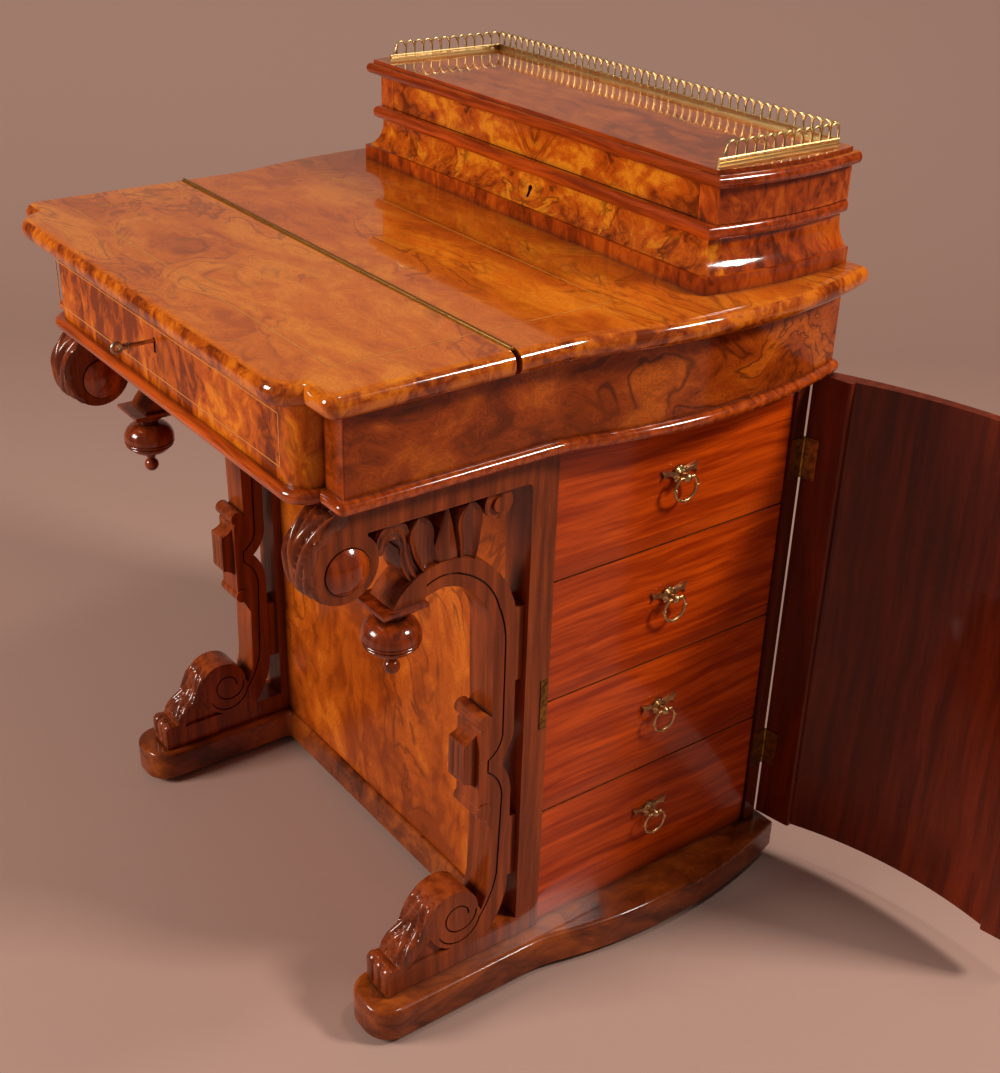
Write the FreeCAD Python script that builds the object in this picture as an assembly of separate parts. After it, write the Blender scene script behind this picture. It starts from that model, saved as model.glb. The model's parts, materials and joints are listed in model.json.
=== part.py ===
import FreeCAD, Part
import math
import os

# Davenport desk in burr walnut, millimetres. X to the right (drawers and door), Y to the back, Z up.
# The origin is on the floor, midway between the two brackets. The door stands open at rest.

V = FreeCAD.Vector
X_AXIS = V(1, 0, 0)
Y_AXIS = V(0, 1, 0)
Z_AXIS = V(0, 0, 1)
ORIGIN = V(0, 0, 0)

# Heights, from the floor upwards
PLINTH_CLEAR = 9.0
PLINTH_T = 36.0
CARCASE_H = 568.0
LIP_T = 12.0
APRON_H = 82.0
TOP_T = 22.0
PLINTH_Z = PLINTH_CLEAR + PLINTH_T
LIP_Z = PLINTH_Z + CARCASE_H
APRON_Z = LIP_Z + LIP_T
TOP_BOTTOM = APRON_Z + APRON_H
TOP_Z = TOP_BOTTOM + TOP_T

# Plan of the desk: straight sides that swell out towards the back
APRON_W = 285.0
APRON_FRONT = 292.0
APRON_REAR = 308.0
SWELL = 24.0
SWELL_START = -62.0
SWELL_APEX = 125.0
OGEE_R = 150.0
TOP_OVER = 28.0
TOP_REAR_OVER = 4.0
LIP_OVER = 9.0
LOBE_IN = 55.0
LOBE_R = 25.0
EAR_BACK = 24.0
TONGUE_D = 120.0
LOBE_SPREAD = 0.57
LOBE_GROWTH = 0.18
TOP_EAR_R = 13.0
LIP_EAR_R = 7.0
APRON_EAR_R = 1.5
TOP_NOSE = 10.0
LIP_NOSE = 5.5

# Plinth
FOOT_W = 70.0
FOOT_TOE = 23.0
FOOT_R = 28.0
PLINTH_LEDGE = 6.0
PLINTH_TAIL = 15.0
PLINTH_NOSE = 6.0
PLINTH_INNER_R = 6.0

# Casters sunk in the plinth
CASTER_IN = 35.0
CASTER_FRONT_IN = 42.0
CASTER_REAR_IN = 43.0
RECESS_R = 27.0
RECESS_DEPTH = 27.0
WHEEL_R = 11.0
WHEEL_W = 11.0
TRAIL = 9.0
CASTER_PLATE_R = 20.0
CASTER_PLATE_T = 3.0
FORK_T = 2.0
FORK_W = 16.4
STEM_R = 4.0
AXLE_R = 2.0
RUN_FIT = 0.05
SIDE_FIT = 0.4

# Carcase
SIDE_IN = 13.0
BRACKET_T = 38.0
STILE_REAR = -34.5
STILE_W = 29.0
CARCASE_IN = 18.0
POST_D = 16.5
PANEL_BACKSET = 10.5
BACK_T = 10.0
WELL_FLOOR_T = 8.0
REAR_APRON_T = 16.0
APRON_WALL = 23.0

# Drawers
DRAWER_COUNT = 4
FLOOR_T = 26.0
HEADER_T = 10.5
DUST_T = 14.5
RUN_CLEAR = 0.3
HEAD_CLEAR = 1.2
DRAWER_SIDE_CLEAR = 1.0
DRAWER_FRONT_T = 18.0
DRAWER_SETBACK = 4.0
RAIL_SETBACK = 5.0
DRAWER_TAIL = 70.0
DRAWER_WALL = 9.0
DRAWER_BOTTOM_T = 6.0
DRAWER_SIDE_DROP = 14.0

# Ring pulls
PULL_PLATE_T = 2.5
PULL_ARM = 24.0
PULL_HUB_R = 7.5
PULL_NECK_R = 3.0
PULL_BALL_R = 5.0
PULL_REACH = 12.0
RING_R = 14.0
RING_WIRE_R = 1.7
RING_FIT = 0.35

# Door, drawn shut and then swung open
DOOR_OPEN = 101.0
DOOR_BOTTOM_CLEAR = 10.0
DOOR_TOP_CLEAR = 2.0
DOOR_EDGE_CLEAR = 1.0
DOOR_STANDOFF = 2.0
DOOR_STILE_T = 6.5
DOOR_HINGE_STILE_W = 44.5
DOOR_LOCK_STILE_W = 36.0
DOOR_BOARD_T = 12.0
STILE_BEAD = 3.0
BUTT_H = 46.0
BUTT_LEAF_T = 0.9
BUTT_LEAF_W = 15.0
BUTT_R = 1.9
BUTT_PIN_R = 1.0
BUTT_KNUCKLES = 5
BUTT_INSET = 71.0
BUTT_BACK = 0.5
KNUCKLE_GAP = 0.3
KEEP_W = 8.0
KEEP_MARGIN = 2.0

# Fold-over lid on its strip hinge
HINGE_Y = -116.0
STRIP_RISE = 1.0
STRIP_R = 1.8
STRIP_PIN_R = 0.9
STRIP_LEAF_T = 1.0
STRIP_LEAF_H = 18.0
STRIP_LEAF_LOW = 0.1
STRIP_GAP = 0.3
STRIP_KNUCKLES = 13
STRIP_INSET = 10.0

# Lid lock
LOCK_X = -10.0
LOCK_DROP = 35.0
LOCK_W = 62.0
LOCK_H = 58.0
LOCK_D = 14.0
LOCK_WALL = 2.5
KEY_R = 2.0
KEY_OUT = 32.0
KEY_BIT = 9.0
KEY_BOW_R = 4.4
KEY_BOW_WIRE = 1.9
KEY_COLLARS = 3
KEY_COLLAR_R = 3.2
KEY_COLLAR_T = 1.4
KEY_GAP = 0.5
KEYHOLE_R = 3.2
BOLT_W = 18.0
BOLT_T = 5.0
BOLT_H = 16.0
BOLT_THROW = 8.0
BOLT_FIT = 0.4
BOLT_DROP = 2.0
BOLT_GAP = 1.5

# Stationery box
BOX_OVER = 3.5
BOX_DEPTH = 188.5
BOX_REAR_IN = 10.0
BOX_BULGE = 9.0
BASE_T = 16.0
WAIST_H = 31.0
RAIL_T = 14.0
RAIL_FLAT = 2.0
FRIEZE_H = 35.0
BOX_TOP_T = 16.0
CAVETTO_FOOT = 4.0
CAVETTO_IN = 15.0
RAIL_IN = 7.0
FRIEZE_IN_X = 8.7
FRIEZE_IN_Y = 17.0
THUMB_IN_X = -2.0
THUMB_IN_Y = 4.0
ARRIS_IN_X = 3.0
ARRIS_IN_Y = 9.0
ARRIS_H = 4.0
THUMB_R = 5.5
BOX_END_T = 34.0
BOX_FRONT_T = 29.0
BOX_BACK_T = 14.0
FRIEZE_FIT = 0.5
BOX_AXIS_BACK = 2.6
BOX_HINGE_IN = 88.5
BOX_HINGE_L = 50.0
BOX_LEAF_DROP = 16.0
BOX_LEAF_RISE = 10.0
RACK_T = 5.0
RACK_COUNT = 2
RACK_PITCH = 46.0
RACK_H = 40.0
RACK_STEP = 16.0
BOX_LOCK_X = 10.0
BOX_LOCK_W = 50.0
BOX_LOCK_H = 26.0
BOX_LOCK_T = 3.0
BOX_KEYHOLE_DROP = 15.0

# Brass gallery on the box
GALLERY_END_IN = 18.5
GALLERY_FRONT_IN = 31.5
GALLERY_REAR_IN = 12.0
GALLERY_T = 1.8
GALLERY_H = 21.0
GALLERY_BASE = 6.0
ARCH_PITCH = 11.2
ARCH_WIRE = 1.5

# Turned ornaments
BOSS_R = 21.5
BOSS_H = 11.0
BOSS_RIM = 2.5
BOSS_SINK = 1.2
ABACUS_X = 25.0
ABACUS_Y = 24.0
ABACUS_T = 7.0
PENDANT_COLLAR_R = 17.0
PENDANT_COLLAR_T = 4.0
PENDANT_WAIST_R = 11.0
PENDANT_WAIST_H = 7.0
PENDANT_R = 28.0
PENDANT_BELLY_H = 36.0
PENDANT_BEAD = 1.2
PENDANT_NECK_R = 4.0
PENDANT_NECK_H = 9.0
PENDANT_TIP_R = 8.0

# Bracket profile drawn on squared paper, its points in squares: u counts forward from the stile's rear edge
# as a negative number, and heights count from the plinth, the top rail or the middle of the stem's block
GRID = 10.0
RAIL_H = 32.0
STILE_CORNER_R = 7.0
ROLL_R = 8.5
ROLL_PROUD = 1.5
LEAF_INSET = 5.0
EYE_INSET = 2.0
BLOCK_INSET = 6.0
BLOCK_RISE = 12.5
GROOVE = 2.0

# Worked-out places
PLINTH_W = APRON_W + LIP_OVER
SIDE_X = APRON_W - SIDE_IN
LOBE_X = APRON_W - LOBE_IN
EAR_FRONT = APRON_FRONT - EAR_BACK
CARCASE_REAR = APRON_REAR - CARCASE_IN
WELL_W = APRON_W - APRON_WALL
WELL_FRONT = -(APRON_FRONT - LOBE_R)
WELL_REAR = APRON_REAR - REAR_APRON_T
BRACKET_IN = SIDE_X - BRACKET_T
BRACKET_MID = SIDE_X - BRACKET_T / 2
STILE_FRONT = STILE_REAR - STILE_W
PANEL_FRONT = STILE_FRONT + PANEL_BACKSET
FOOT_IN = PLINTH_W - FOOT_W
TOE_U = -18.95 * GRID
FOOT_FRONT = FOOT_TOE - TOE_U - STILE_REAR
RAIL_LOW = CARCASE_H - RAIL_H
VOLUTE_TOP = 9.7 * GRID
ARCH_FOOT = RAIL_LOW - 16.6 * GRID
BLOCK_MID = (VOLUTE_TOP + ARCH_FOOT) / 2 + BLOCK_RISE
PLINTH_FRONT = PANEL_FRONT - PLINTH_LEDGE
PLINTH_REAR = CARCASE_REAR + PLINTH_TAIL
CASTER_X = PLINTH_W - CASTER_IN
CASTER_FRONT_Y = CASTER_FRONT_IN - FOOT_FRONT
CASTER_REAR_Y = PLINTH_REAR - CASTER_REAR_IN
POST_FRONT = CARCASE_REAR - POST_D
DRAWER_X = SIDE_X - DRAWER_SETBACK
DRAWER_LENGTH = DRAWER_X + SIDE_X - DRAWER_TAIL
DRAWER_Y0 = STILE_REAR + DRAWER_SIDE_CLEAR
DRAWER_Y1 = POST_FRONT - DRAWER_SIDE_CLEAR
DRAWER_MID = (DRAWER_Y0 + DRAWER_Y1) / 2
DRAWER_BAY = (CARCASE_H - FLOOR_T - HEADER_T - (DRAWER_COUNT - 1) * DUST_T) / DRAWER_COUNT
DRAWER_H = DRAWER_BAY - RUN_CLEAR - HEAD_CLEAR
DRAWER_PITCH = DRAWER_BAY + DUST_T
LOCK_Z = TOP_BOTTOM - LOCK_DROP
STRIP_HALF = STRIP_R + STRIP_GAP + STRIP_LEAF_T
STRIP_Z = TOP_Z + STRIP_RISE
DOOR_IN = SIDE_X + DOOR_STANDOFF
DOOR_FLAT = DOOR_IN + DOOR_STILE_T
DOOR_AXIS_X = SIDE_X + DOOR_STANDOFF / 2
DOOR_AXIS_Y = CARCASE_REAR + BUTT_BACK
DOOR_FRONT = STILE_REAR + DOOR_EDGE_CLEAR
DOOR_REAR = CARCASE_REAR
DOOR_Z0 = PLINTH_Z + DOOR_BOTTOM_CLEAR
DOOR_Z1 = LIP_Z - DOOR_TOP_CLEAR
BOX_W = APRON_W + BOX_OVER
BOX_REAR = APRON_REAR - BOX_REAR_IN
BOX_FRONT = BOX_REAR - BOX_DEPTH
BOX_HINGE_X = BOX_W - BOX_HINGE_IN
GALLERY_X = BOX_W - GALLERY_END_IN
GALLERY_FRONT = BOX_FRONT + GALLERY_FRONT_IN
GALLERY_BACK = BOX_REAR - GALLERY_REAR_IN
BASE_Z = TOP_Z + BASE_T
RAIL_Z = BASE_Z + WAIST_H
FRIEZE_Z = RAIL_Z + RAIL_T
LID_Z = FRIEZE_Z + FRIEZE_H
BOX_TOP_Z = LID_Z + BOX_TOP_T
BOX_CAVITY_X = BOX_W - BOX_END_T
BOX_CAVITY_Y0 = BOX_FRONT + BOX_FRONT_T
BOX_CAVITY_Y1 = BOX_REAR - BOX_BACK_T
BOX_AXIS_Y = BOX_REAR + BOX_AXIS_BACK


# Small helpers for outlines and solids

def box(x0, x1, y0, y1, z0, z1):
    return Part.makeBox(x1 - x0, y1 - y0, z1 - z0, V(x0, y0, z0))


def rod(radius, start, direction, length):
    return Part.makeCylinder(radius, length, start, direction)


def trace(start, steps, place):
    """Wire: a two-number step is a line's end, a four-number step an arc's middle and end."""
    edges = []
    here = start
    for step in steps:
        end = (step[-2], step[-1])
        if math.dist(here, end) < 1e-6:
            continue
        if len(step) == 4:
            edges.append(Part.Arc(place(*here), place(step[0], step[1]), place(*end)).toShape())
        else:
            edges.append(Part.makeLine(place(*here), place(*end)))
        here = end
    return Part.Wire(edges)


def outline(start, steps, place):
    """Face inside a wire that is closed back to its start."""
    return Part.Face(trace(start, list(steps) + [start], place))


def plan_prism(start, steps, z0, z1):
    face = outline(start, steps, lambda x, y: V(x, y, z0))
    return face.extrude(V(0, 0, z1 - z0))


def turned(start, steps, centre, axis=Z_AXIS):
    """Solid of revolution from a half profile given as radius and height."""
    face = outline(start, steps, lambda r, h: V(r, 0, h))
    solid = face.revolve(ORIGIN, Z_AXIS, 360)
    turn = FreeCAD.Rotation(Z_AXIS, axis)
    return solid.transformed(FreeCAD.Placement(centre, turn).toMatrix(), True)


def mirrored(shape):
    return shape.mirror(ORIGIN, X_AXIS)


def joined(shapes):
    return shapes[0].multiFuse(shapes[1:]).removeSplitter()


def rounded(solid, radius, wanted):
    """Fillet every edge that the test picks."""
    edges = [e for e in solid.Edges if wanted(e)]
    return solid.makeFillet(radius, edges)


def level_edge(edge, z):
    return all(abs(v.Z - z) < 1e-4 for v in edge.Vertexes) and abs(edge.CenterOfMass.z - z) < 1e-4


def export(name, shapes):
    shape = shapes if isinstance(shapes, Part.Shape) else Part.makeCompound(shapes)
    shape.exportStep(os.path.join("parts", name + ".step"))


# Plan curves

def swell(w, y_end):
    """Right-hand side from the straight stretch to the back: a hollow arc and a long bow."""
    reach = ((SWELL_APEX - SWELL_START) ** 2 + SWELL ** 2) / (2 * SWELL)
    bow_r = reach - OGEE_R
    bow_c = (w + SWELL - bow_r, SWELL_APEX)
    ogee_c = (w + OGEE_R, SWELL_START)
    share = bow_r / reach
    meet = (bow_c[0] + share * (ogee_c[0] - bow_c[0]), bow_c[1] + share * (ogee_c[1] - bow_c[1]))
    half = math.atan2(meet[1] - ogee_c[1], ogee_c[0] - meet[0]) / 2
    hollow = (ogee_c[0] - OGEE_R * math.cos(half), ogee_c[1] + OGEE_R * math.sin(half))
    end = (bow_c[0] + math.sqrt(bow_r ** 2 - (y_end - SWELL_APEX) ** 2), y_end)
    return (w, SWELL_START), hollow, meet, (w + SWELL, SWELL_APEX), end


def side_x(w, y):
    """Half width of the bowed stretch at a given depth."""
    return swell(w, y)[4][0]


def right_side(w, y_end):
    start, hollow, meet, apex, end = swell(w, y_end)
    return [start, (*hollow, *meet), (*apex, *end)]


def left_side(w, y_end):
    start, hollow, meet, apex, end = [(-x, y) for x, y in swell(w, y_end)]
    return [end, (*apex, *meet), (*hollow, *start)]


def lobe(over):
    """Front line, lobe centre and lobe radius of an outline that oversails the apron."""
    return -(APRON_FRONT + over), LOBE_X + LOBE_SPREAD * over, LOBE_R + LOBE_GROWTH * over


def tongue(over, z0, z1):
    """Front board between the two ears, its corners rounded into lobes."""
    front, lobe_x, lobe_r = lobe(over)
    bend = lobe_r * (1 - math.sqrt(0.5))
    x = lobe_x + lobe_r
    shoulder = front + lobe_r
    rear = front + TONGUE_D
    return plan_prism((-x, rear), [
        (-x, shoulder), (-x + bend, front + bend, -lobe_x, front), (lobe_x, front),
        (x - bend, front + bend, x, shoulder), (x, rear)], z0, z1)


def wings(over, radius, back_steps, z0, z1):
    """Body behind the tongue: ears at the front corners, closed by the given steps round the back."""
    w = APRON_W + over
    y = -(EAR_FRONT + over)
    bend = radius * (1 - math.sqrt(0.5))
    right = [(w - radius, y), (w - bend, y + bend, w, y + radius)]
    left = [(-w, y + radius), (-w + bend, y + bend, -w + radius, y)]
    return plan_prism((-w + radius, y), right + back_steps + left, z0, z1)


def nosed(board, nose, z0, z1, square_y):
    """Round the upper and lower edges, leaving the edge at square_y as it is."""
    return rounded(board, nose, lambda e: (level_edge(e, z0) or level_edge(e, z1))
                   and abs(e.CenterOfMass.y - square_y) > 1e-3)


def lobed_board(over, radius, nose, back_steps, rear, z0, z1):
    """Moulded board with the shaped front: tongue and wings, each with its nosing."""
    front = tongue(over, z0, z1)
    body = wings(over, radius, back_steps, z0, z1)
    tongue_rear = TONGUE_D - APRON_FRONT - over
    return joined([nosed(front, nose, z0, z1, tongue_rear), nosed(body, nose, z0, z1, rear)])


# Base

def plinth():
    bend = FOOT_R * (1 - math.sqrt(0.5))
    inner = PLINTH_INNER_R * (1 - math.sqrt(0.5))
    toe = [(FOOT_IN, PLINTH_FRONT - PLINTH_INNER_R),
           (FOOT_IN, -FOOT_FRONT + FOOT_R),
           (FOOT_IN + bend, -FOOT_FRONT + bend, FOOT_IN + FOOT_R, -FOOT_FRONT),
           (PLINTH_W - FOOT_R, -FOOT_FRONT),
           (PLINTH_W - bend, -FOOT_FRONT + bend, PLINTH_W, -FOOT_FRONT + FOOT_R)]
    right = [(FOOT_IN - inner, PLINTH_FRONT - inner, *toe[0])] + toe[1:] + right_side(PLINTH_W, PLINTH_REAR)
    left = left_side(PLINTH_W, PLINTH_REAR)
    left += [(-PLINTH_W, -FOOT_FRONT + FOOT_R),
             (-PLINTH_W + bend, -FOOT_FRONT + bend, -PLINTH_W + FOOT_R, -FOOT_FRONT),
             (-FOOT_IN - FOOT_R, -FOOT_FRONT),
             (-FOOT_IN - bend, -FOOT_FRONT + bend, -FOOT_IN, -FOOT_FRONT + FOOT_R),
             (-FOOT_IN, PLINTH_FRONT - PLINTH_INNER_R),
             (-FOOT_IN + inner, PLINTH_FRONT - inner, -FOOT_IN + PLINTH_INNER_R, PLINTH_FRONT)]
    start = (FOOT_IN - PLINTH_INNER_R, PLINTH_FRONT)
    board = plan_prism(start, right + left, PLINTH_CLEAR, PLINTH_Z)
    board = rounded(board, PLINTH_NOSE, lambda e: level_edge(e, PLINTH_Z))
    for x, y in caster_places():
        board = board.cut(rod(RECESS_R, V(x, y, PLINTH_CLEAR), Z_AXIS, RECESS_DEPTH))
    return board


def caster_places():
    return [(sx * CASTER_X, y) for y in (CASTER_FRONT_Y, CASTER_REAR_Y) for sx in (-1, 1)]


def caster(x, y):
    """Fixed plate, swivelling fork and wheel of one caster, trailing to the back."""
    ceiling = PLINTH_CLEAR + RECESS_DEPTH
    plate_z = ceiling - CASTER_PLATE_T
    plate = rod(CASTER_PLATE_R, V(x, y, plate_z), Z_AXIS, CASTER_PLATE_T)
    plate = plate.cut(rod(STEM_R + RUN_FIT, V(x, y, plate_z), Z_AXIS, CASTER_PLATE_T))
    crown_top = plate_z - SIDE_FIT
    crown_z = crown_top - FORK_T
    crown = box(x - FORK_W / 2, x + FORK_W / 2, y - STEM_R * 2, y + TRAIL + AXLE_R * 2, crown_z, crown_top)
    stem = rod(STEM_R, V(x, y, crown_z), Z_AXIS, plate_z + CASTER_PLATE_T - SIDE_FIT - crown_z)
    fork = [crown, stem]
    for side in (-1, 1):
        x0 = x + side * (FORK_W / 2 - FORK_T / 2)
        fork.append(box(x0 - FORK_T / 2, x0 + FORK_T / 2, y + TRAIL - AXLE_R * 2, y + TRAIL + AXLE_R * 2,
                        WHEEL_R - AXLE_R * 2, crown_top))
    fork.append(rod(AXLE_R, V(x - FORK_W / 2, y + TRAIL, WHEEL_R), X_AXIS, FORK_W))
    wheel = rod(WHEEL_R, V(x - WHEEL_W / 2, y + TRAIL, WHEEL_R), X_AXIS, WHEEL_W)
    wheel = wheel.cut(rod(AXLE_R + RUN_FIT, V(x - WHEEL_W / 2, y + TRAIL, WHEEL_R), X_AXIS, WHEEL_W))
    return plate, joined(fork), wheel


# Carcase

def front_panel():
    return box(-BRACKET_IN, BRACKET_IN, PANEL_FRONT, STILE_REAR, PLINTH_Z, LIP_Z)


def posts():
    """Rear posts: the right one makes room for the hinge knuckles."""
    post = box(BRACKET_IN, SIDE_X, POST_FRONT, CARCASE_REAR, PLINTH_Z, LIP_Z)
    return [post.cut(knuckle_room()), mirrored(post)]


def back_panel():
    return box(-BRACKET_IN, BRACKET_IN, POST_FRONT, POST_FRONT + BACK_T, PLINTH_Z, LIP_Z)


def shelf(z0, z1):
    return box(-SIDE_X, SIDE_X - RAIL_SETBACK, STILE_REAR, POST_FRONT, z0, z1)


def bay_floor(index):
    """Top of the board that drawer number index, counted from the bottom, runs on."""
    return PLINTH_Z + FLOOR_T + index * DRAWER_PITCH


def dust_boards():
    return [shelf(bay_floor(i) - DUST_T, bay_floor(i)) for i in range(1, DRAWER_COUNT)]


def bowed_board(inner_steps, z0, z1):
    """Board that follows the swell outside, closed by the given inner steps from the back to the front."""
    start, hollow, meet, apex, end = swell(APRON_W, DOOR_REAR)
    first = (side_x(APRON_W, DOOR_FRONT), DOOR_FRONT)
    return plan_prism(first, [(*apex, *end)] + inner_steps, z0, z1)


def recess_steps():
    rear = DOOR_REAR - DOOR_HINGE_STILE_W
    front = DOOR_FRONT + DOOR_LOCK_STILE_W
    middle = (rear + front) / 2
    depth = side_x(APRON_W, middle) - DOOR_BOARD_T
    return [(DOOR_FLAT, rear), (depth, middle, DOOR_FLAT, front)]


def left_panel():
    """Fixed bowed panel that matches the door, seated on the shelves and the rear post."""
    rear = DOOR_REAR - DOOR_HINGE_STILE_W
    front = DOOR_FRONT + DOOR_LOCK_STILE_W
    steps = [(SIDE_X, DOOR_REAR), (SIDE_X, rear)] + recess_steps()
    steps += [(SIDE_X, front), (SIDE_X, DOOR_FRONT)]
    return mirrored(bowed_board(steps, PLINTH_Z, LIP_Z))


# Fretted scroll brackets

def low(u, v):
    """Bracket point counted up from the plinth."""
    return u * GRID, v * GRID


def high(u, drop):
    """Bracket point counted down from the lower edge of the top rail."""
    return u * GRID, RAIL_LOW - drop * GRID


def mid(u, rise):
    """Bracket point counted up from the middle of the stem's block."""
    return u * GRID, BLOCK_MID + rise * GRID


def boss_place():
    return high(-22.4, 3.1)


def pendant_place():
    return high(-16.92, 8.4)


def arc(middle, end):
    return (*middle, *end)


def bracket_point(x):
    return lambda u, v: V(x, STILE_REAR + u, PLINTH_Z + v)


def slab(start, steps, inset=0.0):
    face = outline(start, steps, bracket_point(BRACKET_IN + inset))
    return face.extrude(V(BRACKET_T - 2 * inset, 0, 0))


def bar(corner, opposite, inset=0.0):
    (u0, v0), (u1, v1) = corner, opposite
    return slab((u0, v0), [(u1, v0), (u1, v1), (u0, v1)], inset)


def leaf(base, left, tip, right):
    return slab(base, [arc(left, tip), arc(right, base)], LEAF_INSET)


def roll(centre, radius, proud):
    place = bracket_point(BRACKET_IN - proud)
    return rod(radius, place(*centre), X_AXIS, BRACKET_T + 2 * proud)


def stile_and_rail():
    """Upright at the back and top rail, with a rounded inner corner."""
    end = high(-21.5, 0)[0]
    r = STILE_CORNER_R
    bend = r * (1 - math.sqrt(0.5))
    return slab((0, 0), [
        (0, CARCASE_H), (end, CARCASE_H), (end, RAIL_LOW), (-STILE_W - r, RAIL_LOW),
        (-STILE_W - bend, RAIL_LOW - bend, -STILE_W, RAIL_LOW - r), (-STILE_W, 0)])


def console():
    """Front lobe that carries the boss, hung from the rail."""
    front = high(-22.75, 0)[0]
    rear = high(-20.35, 0)[0]
    return slab((front, CARCASE_H), [
        high(-23.15, -2.1), arc(high(-24.95, -0.9), high(-26.08, 2.4)),
        arc(high(-22.7, 6.15), high(-19.32, 2.4)),
        arc(high(-19.55, 1.3), high(-20.35, 0.3)), (rear, CARCASE_H)])


def arch_and_stem():
    """Hooked arch that springs from the pendant and runs down as the stem."""
    seat = pendant_place()[1]
    return slab((-17.95 * GRID, seat), [
        arc(high(-15.55, 5.95), high(-12.35, 5.15)), arc(high(-9.2, 5.86), high(-6.55, 8.03)),
        arc(high(-4.77, 11.27), high(-4.15, 15.1)), mid(-4.15, 3.4),
        arc(mid(-4.45, 1), mid(-5.75, -0.8)), arc(mid(-4.55, -2.9), mid(-4.25, -5.1)),
        low(-4.25, 8.3), arc(low(-5.05, 5), low(-6.75, 2.2)), low(-6.75, 1), low(-8, 1),
        low(-7.65, 5.6), arc(low(-6.85, 7.5), low(-6.65, 9)), mid(-6.55, -8.6), mid(-8.15, -5.4),
        mid(-8.15, 3.6), mid(-6.75, 5.2), high(-6.95, 13.6), arc(high(-7.55, 11.8), high(-8.51, 10.45)),
        arc(high(-10.45, 8.42), high(-12.75, 7.7)), high(-14.55, 8.1), (-14.55 * GRID, seat)])


def foot():
    """Toe, carved slope and volute on the plinth."""
    return slab((TOE_U, 0), [
        (TOE_U, 2.4 * GRID), arc(low(-18.75, 3.05), low(-18.1, 3.2)), low(-17.53, 3.1),
        arc(low(-15.45, 5), low(-14.15, 7.2)), arc(low(-11.2, 9.7), low(-7.85, 6.6)), low(-7, 5),
        low(-6.6, 2.45), low(-2, 2.45), low(-2, 0)])


def rolls_and_block():
    """Two rolls across the stem with a hollow-ended block between them, and the ties to the stile."""
    block = slab(mid(-7.8, -3.7), [
        arc(mid(-8.5, -2.8), mid(-9.55, -2.3)), mid(-9.55, 2.3),
        arc(mid(-8.5, 2.8), mid(-7.8, 3.7))], BLOCK_INSET)
    return [roll(mid(-7.55, -6), ROLL_R, ROLL_PROUD), roll(mid(-7.65, 4.7), ROLL_R, ROLL_PROUD), block,
            bar(low(-4.6, 8.3), mid(-2.6, -8.7), BLOCK_INSET),
            bar(high(-4.6, 21.2), high(-2.6, 13), BLOCK_INSET)]


def spray():
    """Leaves between the arch and the rail: a curl, three spears and a small scroll at the back."""
    curl = slab(high(-15.4, 6.8), [
        arc(high(-16.7, 5.2), high(-17, 2.8)), arc(high(-17.75, 1.6), high(-18.4, 2.6)),
        arc(high(-18.9, 2.9), high(-19.3, 2.2)), arc(high(-17.8, -0.15), high(-16, 2.2)),
        arc(high(-15.5, 4.5), high(-14.2, 6.6))], LEAF_INSET)
    spear = slab(high(-13.7, 6.2), [
        arc(high(-12.95, 3), high(-12, -0.3)), arc(high(-11.1, 3), high(-10.2, 6.2))], LEAF_INSET)
    scroll = high(-6.35, 1.3)
    return [curl, leaf(high(-14.3, 6.6), high(-16, 3), high(-15, -0.2), high(-13.7, 2.6)), spear,
            leaf(high(-10.3, 6.8), high(-11.1, 2.6), high(-9.5, -0.2), high(-8.7, 3)),
            roll(scroll, 1.55 * GRID, -LEAF_INSET), roll(scroll, 0.75 * GRID, -EYE_INSET)]


def incised(x, inward, start, steps):
    """Line of even width cut into one face of the bracket."""
    line = trace(start, steps, bracket_point(x))
    return Part.Face(line.makeOffset2D(GROOVE / 2)).extrude(V(inward * GROOVE, 0, 0))


def stem_line(x, inward):
    """Line down the middle of the arch and stem that sweeps forward under the volute."""
    return incised(x, inward, high(-14.35, 6.95), [
        arc(high(-12.2, 6.5), high(-10.5, 7)), arc(high(-7.9, 8.9), high(-6.35, 11.8)),
        arc(high(-5.65, 14.1), high(-5.45, 16.6)), mid(-5.45, 3), arc(mid(-5.8, 1.3), mid(-7.1, 0)),
        mid(-7.1, -1.4), arc(mid(-5.75, -3.1), mid(-5.35, -5.6)), low(-5.65, 9.9),
        arc(low(-6.35, 7.4), low(-7.7, 5)), arc(low(-10.1, 3), low(-12.6, 4.6))])


def volute_line(x, inward):
    """Spiral of two half turns on the volute's face."""
    return incised(x, inward, low(-9.06, 6.3), [
        arc(low(-10.46, 7.7), low(-11.86, 6.3)), arc(low(-9.98, 4.42), low(-8.1, 6.3))])


def sunk_panel(x, inward):
    steps = [low(-13.7, 5.1), arc(low(-12.6, 3.5), low(-11.2, 2.6))]
    face = outline(low(-16.58, 2.6), steps, bracket_point(x))
    return face.extrude(V(2 * inward * GROOVE, 0, 0))


def boss_seat(x, inward):
    return rod(BOSS_R + GROOVE / 2, bracket_point(x)(*boss_place()), V(inward, 0, 0), BOSS_SINK)


def bracket():
    body = joined([stile_and_rail(), console(), arch_and_stem(), foot()] + rolls_and_block() + spray())
    for x, inward in ((SIDE_X, -1), (BRACKET_IN, 1)):
        for make in (stem_line, volute_line, sunk_panel, boss_seat):
            body = body.cut(make(x, inward))
    return body


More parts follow.
